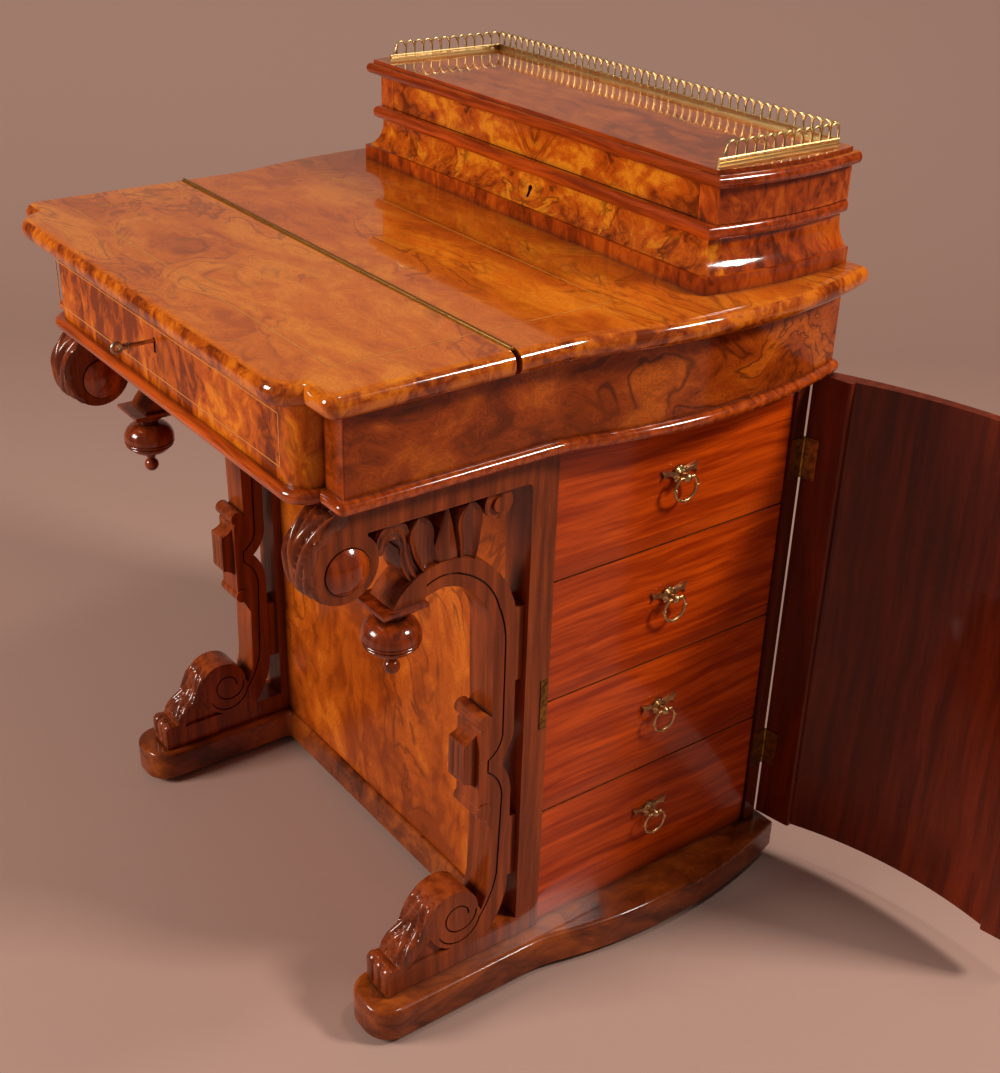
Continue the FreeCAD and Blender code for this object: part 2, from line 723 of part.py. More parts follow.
def boss(x, out):
    """Domed turned button on a low ring, let into the console."""
    centre = bracket_point(x - out * BOSS_SINK)(*boss_place())
    bottom = (BOSS_H ** 2 - BOSS_R ** 2 - BOSS_RIM ** 2) / (2 * (BOSS_H - BOSS_RIM))
    dome_r = BOSS_H - bottom
    half = math.asin(BOSS_R / dome_r) / 2
    bend = (dome_r * math.sin(half), bottom + dome_r * math.cos(half))
    return turned((0, 0), [(BOSS_R, 0), (BOSS_R, BOSS_RIM), (*bend, 0, BOSS_H)], centre, V(out, 0, 0))


def bosses():
    right = [boss(SIDE_X, 1), boss(BRACKET_IN, -1)]
    return right + [mirrored(b) for b in right]


def pendant():
    """Square cap and turned drop that close the arch's free end."""
    seat = bracket_point(BRACKET_MID)(*pendant_place())
    cap = box(seat.x - ABACUS_X, seat.x + ABACUS_X, seat.y - ABACUS_Y, seat.y + ABACUS_Y,
              seat.z - ABACUS_T, seat.z)
    under = seat.z - ABACUS_T
    cap = cap.makeChamfer(ABACUS_T / 2, [e for e in cap.Edges if level_edge(e, under)])
    waist = -PENDANT_COLLAR_T - PENDANT_WAIST_H
    equator = waist - PENDANT_BELLY_H / 2
    base = waist - PENDANT_BELLY_H
    neck = base - PENDANT_NECK_H
    swelling = PENDANT_R - PENDANT_WAIST_R
    ball = neck - math.sqrt(PENDANT_TIP_R ** 2 - PENDANT_NECK_R ** 2)
    drop = turned((0, 0), [
        (PENDANT_COLLAR_R, 0), (PENDANT_COLLAR_R, -PENDANT_COLLAR_T),
        ((PENDANT_COLLAR_R + PENDANT_WAIST_R) / 2 - 1, waist + PENDANT_WAIST_H / 2, PENDANT_WAIST_R, waist),
        (PENDANT_WAIST_R + 0.76 * swelling, waist - 0.18 * PENDANT_BELLY_H, PENDANT_R, equator),
        (PENDANT_R, equator - PENDANT_BEAD), (PENDANT_R - PENDANT_BEAD, equator - PENDANT_BEAD),
        (PENDANT_WAIST_R + 0.6 * swelling, base + 0.12 * PENDANT_BELLY_H, 2 * PENDANT_NECK_R, base),
        (PENDANT_NECK_R, neck), (PENDANT_TIP_R, ball, 0, ball - PENDANT_TIP_R)], V(seat.x, seat.y, under))
    return joined([cap, drop])


# Writing well

def lip():
    """Half-round lip moulding under the apron, mitred into a frame."""
    w = APRON_W + LIP_OVER
    back = right_side(w, APRON_REAR) + left_side(w, APRON_REAR)
    frame = lobed_board(LIP_OVER, LIP_EAR_R, LIP_NOSE, back, APRON_REAR, LIP_Z, APRON_Z)
    return frame.cut(well(LIP_Z, APRON_Z))


def well(z0, z1):
    return box(-WELL_W, WELL_W, WELL_FRONT, WELL_REAR, z0, z1)


def well_floor():
    return well(LIP_Z, LIP_Z + WELL_FLOOR_T)


def apron_block():
    """Front apron before the keyhole: the tongue as far back as the well."""
    front = tongue(0.0, APRON_Z, TOP_BOTTOM)
    return front.cut(box(-2 * APRON_W, 2 * APRON_W, WELL_FRONT, APRON_REAR, APRON_Z, TOP_BOTTOM))


def front_apron():
    front = -APRON_FRONT
    hole = rod(KEYHOLE_R, V(LOCK_X, front, LOCK_Z), Y_AXIS, APRON_FRONT)
    slot = box(LOCK_X - KEY_R, LOCK_X + KEY_R, front, WELL_FRONT, LOCK_Z - KEY_BIT - KEYHOLE_R, LOCK_Z)
    return apron_block().cut(hole).cut(slot)


def side_apron():
    back = right_side(APRON_W, APRON_REAR) + left_side(APRON_W, APRON_REAR)
    ring = wings(0.0, APRON_EAR_R, back, APRON_Z, TOP_BOTTOM).cut(apron_block())
    ring = ring.cut(box(-WELL_W, WELL_W, WELL_FRONT, 2 * APRON_REAR, APRON_Z, TOP_BOTTOM))
    half = box(0, 2 * APRON_W, -2 * APRON_FRONT, 2 * APRON_REAR, APRON_Z, TOP_BOTTOM)
    inner = box(-WELL_W, LOBE_X, -2 * APRON_FRONT, WELL_FRONT, APRON_Z, TOP_BOTTOM)
    return ring.common(half).cut(inner)


def rear_apron():
    return box(-WELL_W, WELL_W, WELL_REAR, APRON_REAR, APRON_Z, TOP_BOTTOM)


# Top boards and strip hinge

def fixed_top():
    w = APRON_W + TOP_OVER
    rear = APRON_REAR + TOP_REAR_OVER
    front = HINGE_Y + STRIP_HALF
    round_back = right_side(w, rear) + left_side(w, rear)
    board = plan_prism((w, front), round_back + [(-w, front)], TOP_BOTTOM, TOP_Z)
    return nosed(board, TOP_NOSE, TOP_BOTTOM, TOP_Z, front)


def writing_lid():
    w = APRON_W + TOP_OVER
    rear = HINGE_Y - STRIP_HALF
    board = lobed_board(TOP_OVER, TOP_EAR_R, TOP_NOSE, [(w, rear), (-w, rear)], rear, TOP_BOTTOM, TOP_Z)
    y0, y1 = bolt_span()
    mortise = box(LOCK_X - BOLT_W / 2 - 2 * BOLT_FIT, LOCK_X + BOLT_W / 2 + 2 * BOLT_FIT, y0 - 2 * BOLT_FIT,
                  y1 + 2 * BOLT_FIT, TOP_BOTTOM, TOP_BOTTOM + BOLT_THROW + BOLT_FIT)
    return board.cut(mortise)


def strip_leaf(side, first):
    """Leaf on one board's edge, with every other knuckle of the strip hinge."""
    length = 2 * (APRON_W + TOP_OVER - STRIP_INSET)
    pitch = length / STRIP_KNUCKLES
    near = STRIP_R + STRIP_GAP
    ys = sorted((HINGE_Y + side * near, HINGE_Y + side * STRIP_HALF))
    leaf_top = STRIP_Z - STRIP_LEAF_LOW
    pieces = [box(-length / 2, length / 2, ys[0], ys[1], TOP_Z - STRIP_LEAF_H, leaf_top)]
    for k in range(first, STRIP_KNUCKLES, 2):
        x0 = -length / 2 + k * pitch + STRIP_GAP
        run = pitch - 2 * STRIP_GAP
        web = sorted((HINGE_Y, HINGE_Y + side * near))
        pieces.append(rod(STRIP_R, V(x0, HINGE_Y, STRIP_Z), X_AXIS, run))
        pieces.append(box(x0, x0 + run, web[0], web[1], STRIP_Z - STRIP_R, leaf_top))
    return joined(pieces)


def strip_pin():
    length = 2 * (APRON_W + TOP_OVER - STRIP_INSET)
    return rod(STRIP_PIN_R, V(-length / 2, HINGE_Y, STRIP_Z), X_AXIS, length)


def strip_bore():
    length = 2 * (APRON_W + TOP_OVER - STRIP_INSET)
    return rod(STRIP_PIN_R + RUN_FIT, V(-length / 2, HINGE_Y, STRIP_Z), X_AXIS, length)


# Lid lock, bolt and key

def bolt_span():
    y0 = WELL_FRONT + LOCK_WALL + BOLT_GAP
    return y0, y0 + BOLT_T


def lid_lock():
    """Hollow case screwed behind the front apron, open at the top for the bolt."""
    y1 = WELL_FRONT + LOCK_D
    z1 = TOP_BOTTOM - BOLT_DROP
    z0 = z1 - LOCK_H
    x0, x1 = LOCK_X - LOCK_W / 2, LOCK_X + LOCK_W / 2
    case = box(x0, x1, WELL_FRONT, y1, z0, z1)
    case = case.cut(box(x0 + LOCK_WALL, x1 - LOCK_WALL, WELL_FRONT + LOCK_WALL, y1 - LOCK_WALL,
                        z0 + LOCK_WALL, z1 - LOCK_WALL))
    b0, b1 = bolt_span()
    case = case.cut(box(LOCK_X - BOLT_W / 2 - BOLT_FIT, LOCK_X + BOLT_W / 2 + BOLT_FIT, b0 - BOLT_FIT,
                        b1 + BOLT_FIT, z1 - LOCK_WALL, z1))
    case = case.cut(rod(KEY_R + RUN_FIT, V(LOCK_X, WELL_FRONT, LOCK_Z), Y_AXIS, LOCK_WALL))
    return case.cut(box(LOCK_X - KEY_R / 2 - SIDE_FIT, LOCK_X + KEY_R / 2 + SIDE_FIT, WELL_FRONT,
                        WELL_FRONT + LOCK_WALL, LOCK_Z - KEY_BIT - SIDE_FIT, LOCK_Z))


def bolt():
    y0, y1 = bolt_span()
    z1 = TOP_BOTTOM - BOLT_DROP
    return box(LOCK_X - BOLT_W / 2, LOCK_X + BOLT_W / 2, y0, y1, z1 - BOLT_H, z1)


def key():
    """Pipe key in the lock: ring bow, collars, shank and a bit that hangs down."""
    y0 = WELL_FRONT + LOCK_WALL + KEY_GAP
    tip = bolt_span()[1]
    bow_y = -APRON_FRONT - KEY_OUT
    shank = rod(KEY_R, V(LOCK_X, bow_y, LOCK_Z), Y_AXIS, tip - bow_y)
    bow = Part.makeTorus(KEY_BOW_R, KEY_BOW_WIRE, V(LOCK_X, bow_y - KEY_BOW_R, LOCK_Z), X_AXIS)
    collars = []
    for k in range(KEY_COLLARS):
        start = V(LOCK_X, bow_y + KEY_R + 2 * k * KEY_COLLAR_T, LOCK_Z)
        collars.append(rod(KEY_COLLAR_R, start, Y_AXIS, KEY_COLLAR_T))
    bit = box(LOCK_X - KEY_R / 2, LOCK_X + KEY_R / 2, y0, tip, LOCK_Z - KEY_BIT, LOCK_Z)
    return joined([shank, bow, bit] + collars)


# Stationery box

def box_steps(in_x, in_y, in_rear=0.0):
    """Plan of the box at some level, its two ends bowed: the first point, then the steps."""
    w = BOX_W - in_x
    front = BOX_FRONT + in_y
    rear = BOX_REAR - in_rear
    middle = (front + rear) / 2
    swell_x = w + BOX_BULGE
    return (w, front), [(swell_x, middle, w, rear), (-w, rear), (-swell_x, middle, -w, front)]


def box_layer(in_x, in_y, z0, z1, in_rear=0.0):
    start, steps = box_steps(in_x, in_y, in_rear)
    return plan_prism(start, steps, z0, z1)


def base_board():
    return box_layer(0.0, 0.0, TOP_Z, BASE_Z)


def waist():
    """Hollow-moulded lower stage of the box, before it is parted into its walls."""
    sections = []
    hollow_z = BASE_Z + 0.3 * WAIST_H
    for inset, z in ((CAVETTO_FOOT, BASE_Z), (0.75 * CAVETTO_IN, hollow_z), (CAVETTO_IN, RAIL_Z)):
        start, steps = box_steps(inset, inset)
        sections.append(outline(start, steps, lambda x, y, z=z: V(x, y, z)).OuterWire)
    return Part.makeLoft(sections, True, False)


def wide(y0, y1, z0, z1):
    return box(-2 * BOX_W, 2 * BOX_W, y0, y1, z0, z1)


def box_front():
    wall = waist().common(wide(0, BOX_CAVITY_Y0, BASE_Z, RAIL_Z))
    z = RAIL_Z - BOX_KEYHOLE_DROP
    hole = rod(KEYHOLE_R, V(BOX_LOCK_X, 0, z), Y_AXIS, BOX_REAR)
    slot = box(BOX_LOCK_X - KEY_R, BOX_LOCK_X + KEY_R, 0, BOX_REAR, z - KEY_BIT, z)
    return wall.cut(hole).cut(slot)


def box_back():
    return box(-BOX_CAVITY_X, BOX_CAVITY_X, BOX_CAVITY_Y1, BOX_REAR, BASE_Z, LID_Z)


def box_ends():
    """Lower and upper stage of each end, parted by the rail."""
    lower = waist().common(wide(BOX_CAVITY_Y0, 2 * BOX_REAR, BASE_Z, RAIL_Z))
    upper = box_layer(FRIEZE_IN_X, FRIEZE_IN_Y, FRIEZE_Z, LID_Z)
    reach = box(BOX_CAVITY_X, 2 * BOX_W, 0, 2 * BOX_REAR, BASE_Z, LID_Z)
    right = [lower.common(reach), upper.common(reach)]
    return right + [mirrored(s) for s in right]


def box_rail():
    """Half-round moulding between the two stages, open at the back."""
    rail = box_layer(RAIL_IN, RAIL_IN, RAIL_Z, FRIEZE_Z)
    rail = rounded(rail, (RAIL_T - RAIL_FLAT) / 2, lambda e: not abs(e.CenterOfMass.y - BOX_REAR) < 1e-3
                   and (level_edge(e, RAIL_Z) or level_edge(e, FRIEZE_Z)))
    return rail.cut(box(-BOX_CAVITY_X, BOX_CAVITY_X, BOX_CAVITY_Y0, 2 * BOX_REAR, RAIL_Z, FRIEZE_Z))


def letter_rack():
    """Stepped upright boards that stand on the base and divide the box."""
    boards = []
    for k in range(RACK_COUNT):
        y = BOX_CAVITY_Y0 + (k + 1) * RACK_PITCH
        top = BASE_Z + RACK_H + k * RACK_STEP
        boards.append(box(-BOX_CAVITY_X, BOX_CAVITY_X, y, y + RACK_T, BASE_Z, top))
    return boards


def box_lock():
    x0 = BOX_LOCK_X - BOX_LOCK_W / 2
    return box(x0, x0 + BOX_LOCK_W, BOX_CAVITY_Y0, BOX_CAVITY_Y0 + BOX_LOCK_T, RAIL_Z - BOX_LOCK_H, RAIL_Z)


def box_top():
    """Lid board with a thumb-moulded edge under a raised arris."""
    step_z = BOX_TOP_Z - ARRIS_H
    board = box_layer(THUMB_IN_X, THUMB_IN_Y, LID_Z, step_z)
    board = rounded(board, THUMB_R, lambda e: (level_edge(e, LID_Z) or level_edge(e, step_z))
                    and abs(e.CenterOfMass.y - BOX_REAR) > 1e-3)
    raised = box_layer(ARRIS_IN_X + THUMB_R / 2, ARRIS_IN_Y, step_z - ARRIS_H / 4, BOX_TOP_Z, THUMB_R)
    return joined([board, raised])


def frieze():
    """Front strip that lifts with the lid, between the fixed ends."""
    return box(-BOX_CAVITY_X + FRIEZE_FIT, BOX_CAVITY_X - FRIEZE_FIT, BOX_FRONT + FRIEZE_IN_Y,
               BOX_CAVITY_Y0, FRIEZE_Z + FRIEZE_FIT, LID_Z)


def box_hinge(fixed):
    """Leaves of both box hinges: the fixed ones carry the pins."""
    pieces = []
    for x in (-BOX_HINGE_X, BOX_HINGE_X):
        third = BOX_HINGE_L / 3
        x0 = x - BOX_HINGE_L / 2
        axis = V(x0, BOX_AXIS_Y, LID_Z)
        back = BOX_REAR + BUTT_LEAF_T / 2
        if fixed:
            leafs = [box(x0, x0 + BOX_HINGE_L, BOX_REAR, back, LID_Z - BOX_LEAF_DROP, LID_Z - BUTT_R)]
            spans = [(x0, x0 + third - KNUCKLE_GAP), (x0 + 2 * third + KNUCKLE_GAP, x0 + BOX_HINGE_L)]
            web_z = (LID_Z - 1.1 * BUTT_R, LID_Z - BUTT_R / 2)
        else:
            leafs = [box(x0, x0 + BOX_HINGE_L, BOX_REAR, back, LID_Z + BUTT_R, LID_Z + BOX_LEAF_RISE)]
            spans = [(x0 + third, x0 + 2 * third)]
            web_z = (LID_Z + BUTT_R / 2, LID_Z + 1.1 * BUTT_R)
        for a, b in spans:
            leafs.append(rod(BUTT_R, V(a, BOX_AXIS_Y, LID_Z), X_AXIS, b - a))
            leafs.append(box(a, b, BOX_REAR, BOX_AXIS_Y, *web_z))
        body = joined(leafs)
        if fixed:
            pieces.append(joined([body, rod(BUTT_PIN_R, axis, X_AXIS, BOX_HINGE_L)]))
        else:
            pieces.append(body.cut(rod(BUTT_PIN_R + RUN_FIT, axis, X_AXIS, BOX_HINGE_L)))
    return pieces


# Brass gallery

def arch_row(length):
    """One run of the gallery lying along X from 0: base strip, arched heads and open arches."""
    count = int(length / ARCH_PITCH)
    pitch = length / count
    spring = GALLERY_H - pitch / 2
    steps = [(length, 0), (length, spring)]
    for k in range(count, 0, -1):
        steps.append(((k - 0.5) * pitch, GALLERY_H, (k - 1) * pitch, spring))
    place = lambda x, z: V(x, 0, z)
    plate = outline((0, 0), steps, place).extrude(V(0, GALLERY_T, 0))
    holes = []
    inner = pitch / 2 - ARCH_WIRE / 2
    for k in range(count):
        x = (k + 0.5) * pitch
        crown = GALLERY_H - ARCH_WIRE
        x0, x1 = x - inner, x + inner
        bend = crown - inner
        hole = outline((x0, GALLERY_BASE), [(x1, GALLERY_BASE), (x1, bend), (x, crown, x0, bend)], place)
        holes.append(hole.extrude(V(0, GALLERY_T, 0)))
    return plate.cut(Part.makeCompound(holes))


def gallery():
    """Pierced rail along the back and the two ends of the box top."""
    back = arch_row(2 * GALLERY_X)
    back.translate(V(-GALLERY_X, GALLERY_BACK - GALLERY_T, BOX_TOP_Z))
    side = arch_row(GALLERY_BACK - GALLERY_T - GALLERY_FRONT)
    side.rotate(ORIGIN, Z_AXIS, 90)
    side.translate(V(GALLERY_X, GALLERY_FRONT, BOX_TOP_Z))
    return joined([back, side, mirrored(side)])


# Drawers

def drawer(index):
    """Front, two sides, back and bottom, as separate boards."""
    z0 = bay_floor(index) + RUN_CLEAR
    z1 = z0 + DRAWER_H
    x_in = DRAWER_X - DRAWER_FRONT_T
    x_end = DRAWER_X - DRAWER_LENGTH
    side_top = z1 - DRAWER_SIDE_DROP
    floor_z = z0 + DRAWER_BOTTOM_T
    front = box(x_in, DRAWER_X, DRAWER_Y0, DRAWER_Y1, z0, z1)
    near = box(x_end, x_in, DRAWER_Y0, DRAWER_Y0 + DRAWER_WALL, z0, side_top)
    far = box(x_end, x_in, DRAWER_Y1 - DRAWER_WALL, DRAWER_Y1, z0, side_top)
    inner = (DRAWER_Y0 + DRAWER_WALL, DRAWER_Y1 - DRAWER_WALL)
    back = box(x_end, x_end + DRAWER_WALL, *inner, z0, side_top)
    bottom = box(x_end + DRAWER_WALL, x_in, *inner, z0, floor_z)
    return [front, near, far, back, bottom]


def pull_height(index):
    return bay_floor(index) + RUN_CLEAR + DRAWER_H / 2


def pull_plate(index):
    """Cast plate with two pointed arms, a neck and a ball that carries the ring."""
    z = pull_height(index)
    place = lambda y, h: V(DRAWER_X, DRAWER_MID + y, z + h)
    hub = PULL_HUB_R
    tail = -PULL_ARM / 6
    notch = PULL_ARM / 12
    tip = PULL_ARM / 3
    arms = outline((-hub, -hub / 2), [
        (0, -hub, hub, -hub / 2), (0.7 * PULL_ARM, notch / 2, PULL_ARM, tail), (0.87 * PULL_ARM, notch),
        (PULL_ARM, tip), (0.6 * PULL_ARM, 0.6 * tip, hub, hub / 2), (0, hub, -hub, hub / 2),
        (-0.6 * PULL_ARM, 0.6 * tip, -PULL_ARM, tip), (-0.87 * PULL_ARM, notch), (-PULL_ARM, tail),
        (-0.7 * PULL_ARM, notch / 2, -hub, -hub / 2)], place)
    plate = arms.extrude(V(PULL_PLATE_T, 0, 0))
    neck = rod(PULL_NECK_R, V(DRAWER_X, DRAWER_MID, z), X_AXIS, PULL_REACH)
    pull = joined([plate, neck, Part.makeSphere(PULL_BALL_R, ring_pivot(index))])
    return pull.cut(ring_way(index))


def ring_pivot(index):
    return V(DRAWER_X + PULL_REACH, DRAWER_MID, pull_height(index))


def ring_way(index):
    """Cross bore through the ball in which the ring's bar turns."""
    pivot = ring_pivot(index)
    return rod(RING_WIRE_R + RING_FIT, V(pivot.x, pivot.y - PULL_BALL_R, pivot.z), Y_AXIS, 2 * PULL_BALL_R)


def ring(index):
    """Hanging ring: a straight bar through the ball, two shoulders and a round bow."""
    pivot = ring_pivot(index)
    half = PULL_BALL_R + 2 * RING_WIRE_R
    drop = math.sqrt(RING_R ** 2 - half ** 2)
    centre = V(pivot.x, pivot.y, pivot.z - drop)
    bow = Part.makeTorus(RING_R, RING_WIRE_R, centre, X_AXIS)
    above = box(pivot.x - RING_R, pivot.x + RING_R, pivot.y - 2 * RING_R, pivot.y + 2 * RING_R,
                pivot.z, pivot.z + 2 * RING_R)
    cross = rod(RING_WIRE_R, V(pivot.x, pivot.y - half, pivot.z), Y_AXIS, 2 * half)
    ends = [Part.makeSphere(RING_WIRE_R * 1.25, V(pivot.x, pivot.y + s * half, pivot.z)) for s in (-1, 1)]
    return joined([bow.cut(above), cross] + ends)


# Door

def opened(shape):
    shape.rotate(V(DOOR_AXIS_X, DOOR_AXIS_Y, 0), Z_AXIS, DOOR_OPEN)
    return shape


def door_board():
    steps = [(DOOR_FLAT, DOOR_REAR)] + recess_steps() + [(DOOR_FLAT, DOOR_FRONT)]
    return opened(bowed_board(steps, DOOR_Z0, DOOR_Z1))


def door_stiles():
    """Straight inner stiles at the hinge and lock edges, beaded on their inner edge."""
    rear = DOOR_REAR - DOOR_HINGE_STILE_W
    front = DOOR_FRONT + DOOR_LOCK_STILE_W
    stiles = []
    for y0, y1, bead_y in ((rear, DOOR_REAR, rear), (DOOR_FRONT, front, front)):
        stile = box(DOOR_IN, DOOR_FLAT, y0, y1, DOOR_Z0, DOOR_Z1)
        stile = rounded(stile, STILE_BEAD, lambda e: abs(e.CenterOfMass.x - DOOR_IN) < 1e-3
                        and abs(e.CenterOfMass.y - bead_y) < 1e-3)
        stiles.append(opened(stile.cut(knuckle_room())))
    return stiles


def butt_heights():
    return [DOOR_Z1 - BUTT_INSET - BUTT_H / 2, DOOR_Z0 + BUTT_INSET + BUTT_H / 2]


def knuckle_room():
    """Space cut from the post and the hinge stile round the knuckles of both hinges."""
    rooms = [rod(BUTT_R + KNUCKLE_GAP, V(DOOR_AXIS_X, DOOR_AXIS_Y, z - BUTT_H / 2), Z_AXIS, BUTT_H)
             for z in butt_heights()]
    return Part.makeCompound(rooms)


def butt(fixed):
    """Leaves of both door hinges. The fixed leaves hold the pins."""
    pieces = []
    step = BUTT_H / BUTT_KNUCKLES
    for middle in butt_heights():
        z0 = middle - BUTT_H / 2
        edge = DOOR_AXIS_Y - BUTT_R - KNUCKLE_GAP
        x0 = SIDE_X if fixed else DOOR_IN - BUTT_LEAF_T
        parts = [box(x0, x0 + BUTT_LEAF_T, edge - BUTT_LEAF_W, edge, z0, z0 + BUTT_H)]
        for k in range(0 if fixed else 1, BUTT_KNUCKLES, 2):
            a = z0 + k * step + KNUCKLE_GAP / 2
            run = step - KNUCKLE_GAP
            parts.append(rod(BUTT_R, V(DOOR_AXIS_X, DOOR_AXIS_Y, a), Z_AXIS, run))
            parts.append(box(x0, x0 + BUTT_LEAF_T, edge, DOOR_AXIS_Y, a, a + run))
        body = joined(parts)
        foot_point = V(DOOR_AXIS_X, DOOR_AXIS_Y, z0)
        if fixed:
            pieces.append(joined([body, rod(BUTT_PIN_R, foot_point, Z_AXIS, BUTT_H)]))
        else:
            pieces.append(opened(body.cut(rod(BUTT_PIN_R + RUN_FIT, foot_point, Z_AXIS, BUTT_H))))
    return pieces


def door_lock():
    """Small lock case let into the lock stile, flush with its face."""
    middle = (DOOR_Z0 + DOOR_Z1) / 2
    y0, y1 = DOOR_FRONT + KEEP_MARGIN, DOOR_FRONT + DOOR_LOCK_STILE_W / 2
    return opened(box(DOOR_IN - BUTT_LEAF_T, DOOR_IN, y0, y1, middle - LOCK_H / 2, middle + LOCK_H / 2))


def door_keep():
    middle = (DOOR_Z0 + DOOR_Z1) / 2
    return box(SIDE_X, SIDE_X + BUTT_LEAF_T, STILE_REAR - KEEP_W - KEEP_MARGIN, STILE_REAR - KEEP_MARGIN,
               middle - LOCK_H / 2, middle + LOCK_H / 2)


def main():
    os.makedirs("parts", exist_ok=True)
    export("plinth", plinth())
    casters = [caster(x, y) for x, y in caster_places()]
    export("caster_plates", [c[0] for c in casters])
    for k, parts in enumerate(casters, 1):
        export("caster_fork_%d" % k, parts[1])
        export("caster_wheel_%d" % k, parts[2])
    export("front_panel", front_panel())
    export("back_frame", posts() + [back_panel()])
    export("carcase_floor", shelf(PLINTH_Z, PLINTH_Z + FLOOR_T))
    export("dust_boards", dust_boards() + [shelf(LIP_Z - HEADER_T, LIP_Z)])
    export("left_panel", left_panel())
    right = bracket()
    export("right_bracket", right)
    export("left_bracket", mirrored(right))
    export("bracket_bosses", bosses())
    drop = pendant()
    export("pendants", [drop, mirrored(drop)])
    export("lip_moulding", lip())
    export("well_floor", well_floor())
    export("front_apron", front_apron())
    apron = side_apron()
    export("side_aprons", [apron, mirrored(apron)])
    export("rear_apron", rear_apron())
    export("fixed_top", fixed_top())
    export("writing_lid", writing_lid())
    export("strip_hinge_fixed_leaf", strip_leaf(1, 0).fuse(strip_pin()))
    export("strip_hinge_lid_leaf", strip_leaf(-1, 1).cut(strip_bore()))
    export("lock_cases", [lid_lock(), box_lock()])
    export("lock_bolt", bolt())
    export("key", key())
    export("box_base", base_board())
    export("box_front", box_front())
    export("box_back", box_back())
    export("box_ends", box_ends())
    export("box_rail", box_rail())
    export("letter_rack", letter_rack())
    export("box_hinge_fixed_leaves", box_hinge(True))
    export("box_top", box_top())
    export("box_frieze", frieze())
    export("box_hinge_lid_leaves", box_hinge(False))
    export("gallery", gallery())
    for k in range(DRAWER_COUNT):
        number = DRAWER_COUNT - k
        export("drawer_%d" % number, drawer(k))
        export("pull_plate_%d" % number, pull_plate(k))
        export("pull_ring_%d" % number, ring(k))
    export("door_board", door_board())
    export("door_stiles", door_stiles())
    export("door_butt_leaves", butt(False))
    export("post_butt_leaves", butt(True))
    export("door_lock", door_lock())
    export("door_keep", door_keep())


main()
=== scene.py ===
import json
import math

import bmesh
import bpy
from mathutils import Matrix, Vector


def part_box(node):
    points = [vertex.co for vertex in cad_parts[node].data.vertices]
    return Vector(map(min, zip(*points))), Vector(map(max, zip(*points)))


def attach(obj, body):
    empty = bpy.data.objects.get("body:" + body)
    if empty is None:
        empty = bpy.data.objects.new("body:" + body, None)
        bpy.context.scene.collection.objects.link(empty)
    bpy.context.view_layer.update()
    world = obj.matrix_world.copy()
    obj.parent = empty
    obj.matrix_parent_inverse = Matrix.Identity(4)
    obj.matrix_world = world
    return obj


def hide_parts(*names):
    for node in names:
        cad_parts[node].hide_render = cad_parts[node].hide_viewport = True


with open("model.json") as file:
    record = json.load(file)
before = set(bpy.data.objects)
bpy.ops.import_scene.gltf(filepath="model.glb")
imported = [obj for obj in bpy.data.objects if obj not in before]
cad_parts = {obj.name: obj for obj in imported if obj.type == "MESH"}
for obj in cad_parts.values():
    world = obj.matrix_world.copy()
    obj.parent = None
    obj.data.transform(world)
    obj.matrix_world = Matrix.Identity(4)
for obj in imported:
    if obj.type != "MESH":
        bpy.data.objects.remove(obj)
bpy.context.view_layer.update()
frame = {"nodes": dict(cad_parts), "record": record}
nodes = frame["nodes"]
scene = bpy.context.scene

# Room: the desk stands on a pale studio floor that runs up into a wall behind it.
# The camera stands at the desk's front right corner, above the top, and looks down at it.
CAMERA_AT = Vector((1.222, -0.818, 1.174))
YAW, PITCH, ROLL = (math.radians(a) for a in (52.9073, -28.1359, 1.7765))
LENS_MM = 50.48
SENSOR_MM = 36.0

ahead = Vector((-math.sin(YAW) * math.cos(PITCH), math.cos(YAW) * math.cos(PITCH), math.sin(PITCH)))
level = Vector((math.cos(YAW), math.sin(YAW), 0.0))
upright = level.cross(ahead)
right = math.cos(ROLL) * level + math.sin(ROLL) * upright
up = -math.sin(ROLL) * level + math.cos(ROLL) * upright
camera = bpy.data.objects.new("camera", bpy.data.cameras.new("camera"))
camera.data.lens = LENS_MM
camera.data.sensor_width = SENSOR_MM
camera.data.clip_end = 50.0
camera.matrix_world = Matrix((right, up, -ahead)).transposed().to_4x4()
camera.location = CAMERA_AT
scene.collection.objects.link(camera)
scene.camera = camera
scene.view_settings.view_transform = "Standard"


def tone(r, g, b):
    """Linear colour of a colour as it is seen on a screen."""
    seen = [c / 255.0 for c in (r, g, b)]
    return [c / 12.92 if c < 0.04045 else ((c + 0.055) / 1.055) ** 2.4 for c in seen] + [1.0]


def area_light(name, at, towards, size, power, colour):
    """Soft rectangular light at one place, turned towards another."""
    lamp = bpy.data.lights.new(name, "AREA")
    lamp.shape = "RECTANGLE"
    lamp.size, lamp.size_y = size
    lamp.energy = power
    lamp.color = colour
    holder = bpy.data.objects.new(name, lamp)
    holder.location = at
    holder.rotation_euler = (Vector(towards) - Vector(at)).to_track_quat("-Z", "Y").to_euler()
    scene.collection.objects.link(holder)


WINDOW_COLOUR = (1.0, 0.92, 0.84)
LAMP_COLOUR = (1.0, 0.94, 0.88)
area_light("front_window", (-0.9, -2.9, 1.9), (0.0, 0.0, 0.5), (1.2, 1.0), 100.0, WINDOW_COLOUR)
area_light("side_window", (1.9, 1.5, 2.3), (0.2, 0.1, 0.4), (0.5, 0.5), 62.0, WINDOW_COLOUR)
area_light("ceiling_lamp", (0.69, 0.52, 2.7), (0.3, 0.2, 0.6), (0.3, 0.3), 10.0, LAMP_COLOUR)

world = bpy.data.worlds.new("studio")
world.use_nodes = True
ambient = world.node_tree.nodes["Background"]
ambient.inputs["Color"].default_value = (0.86, 0.78, 0.74, 1.0)
ambient.inputs["Strength"].default_value = 0.14
scene.world = world

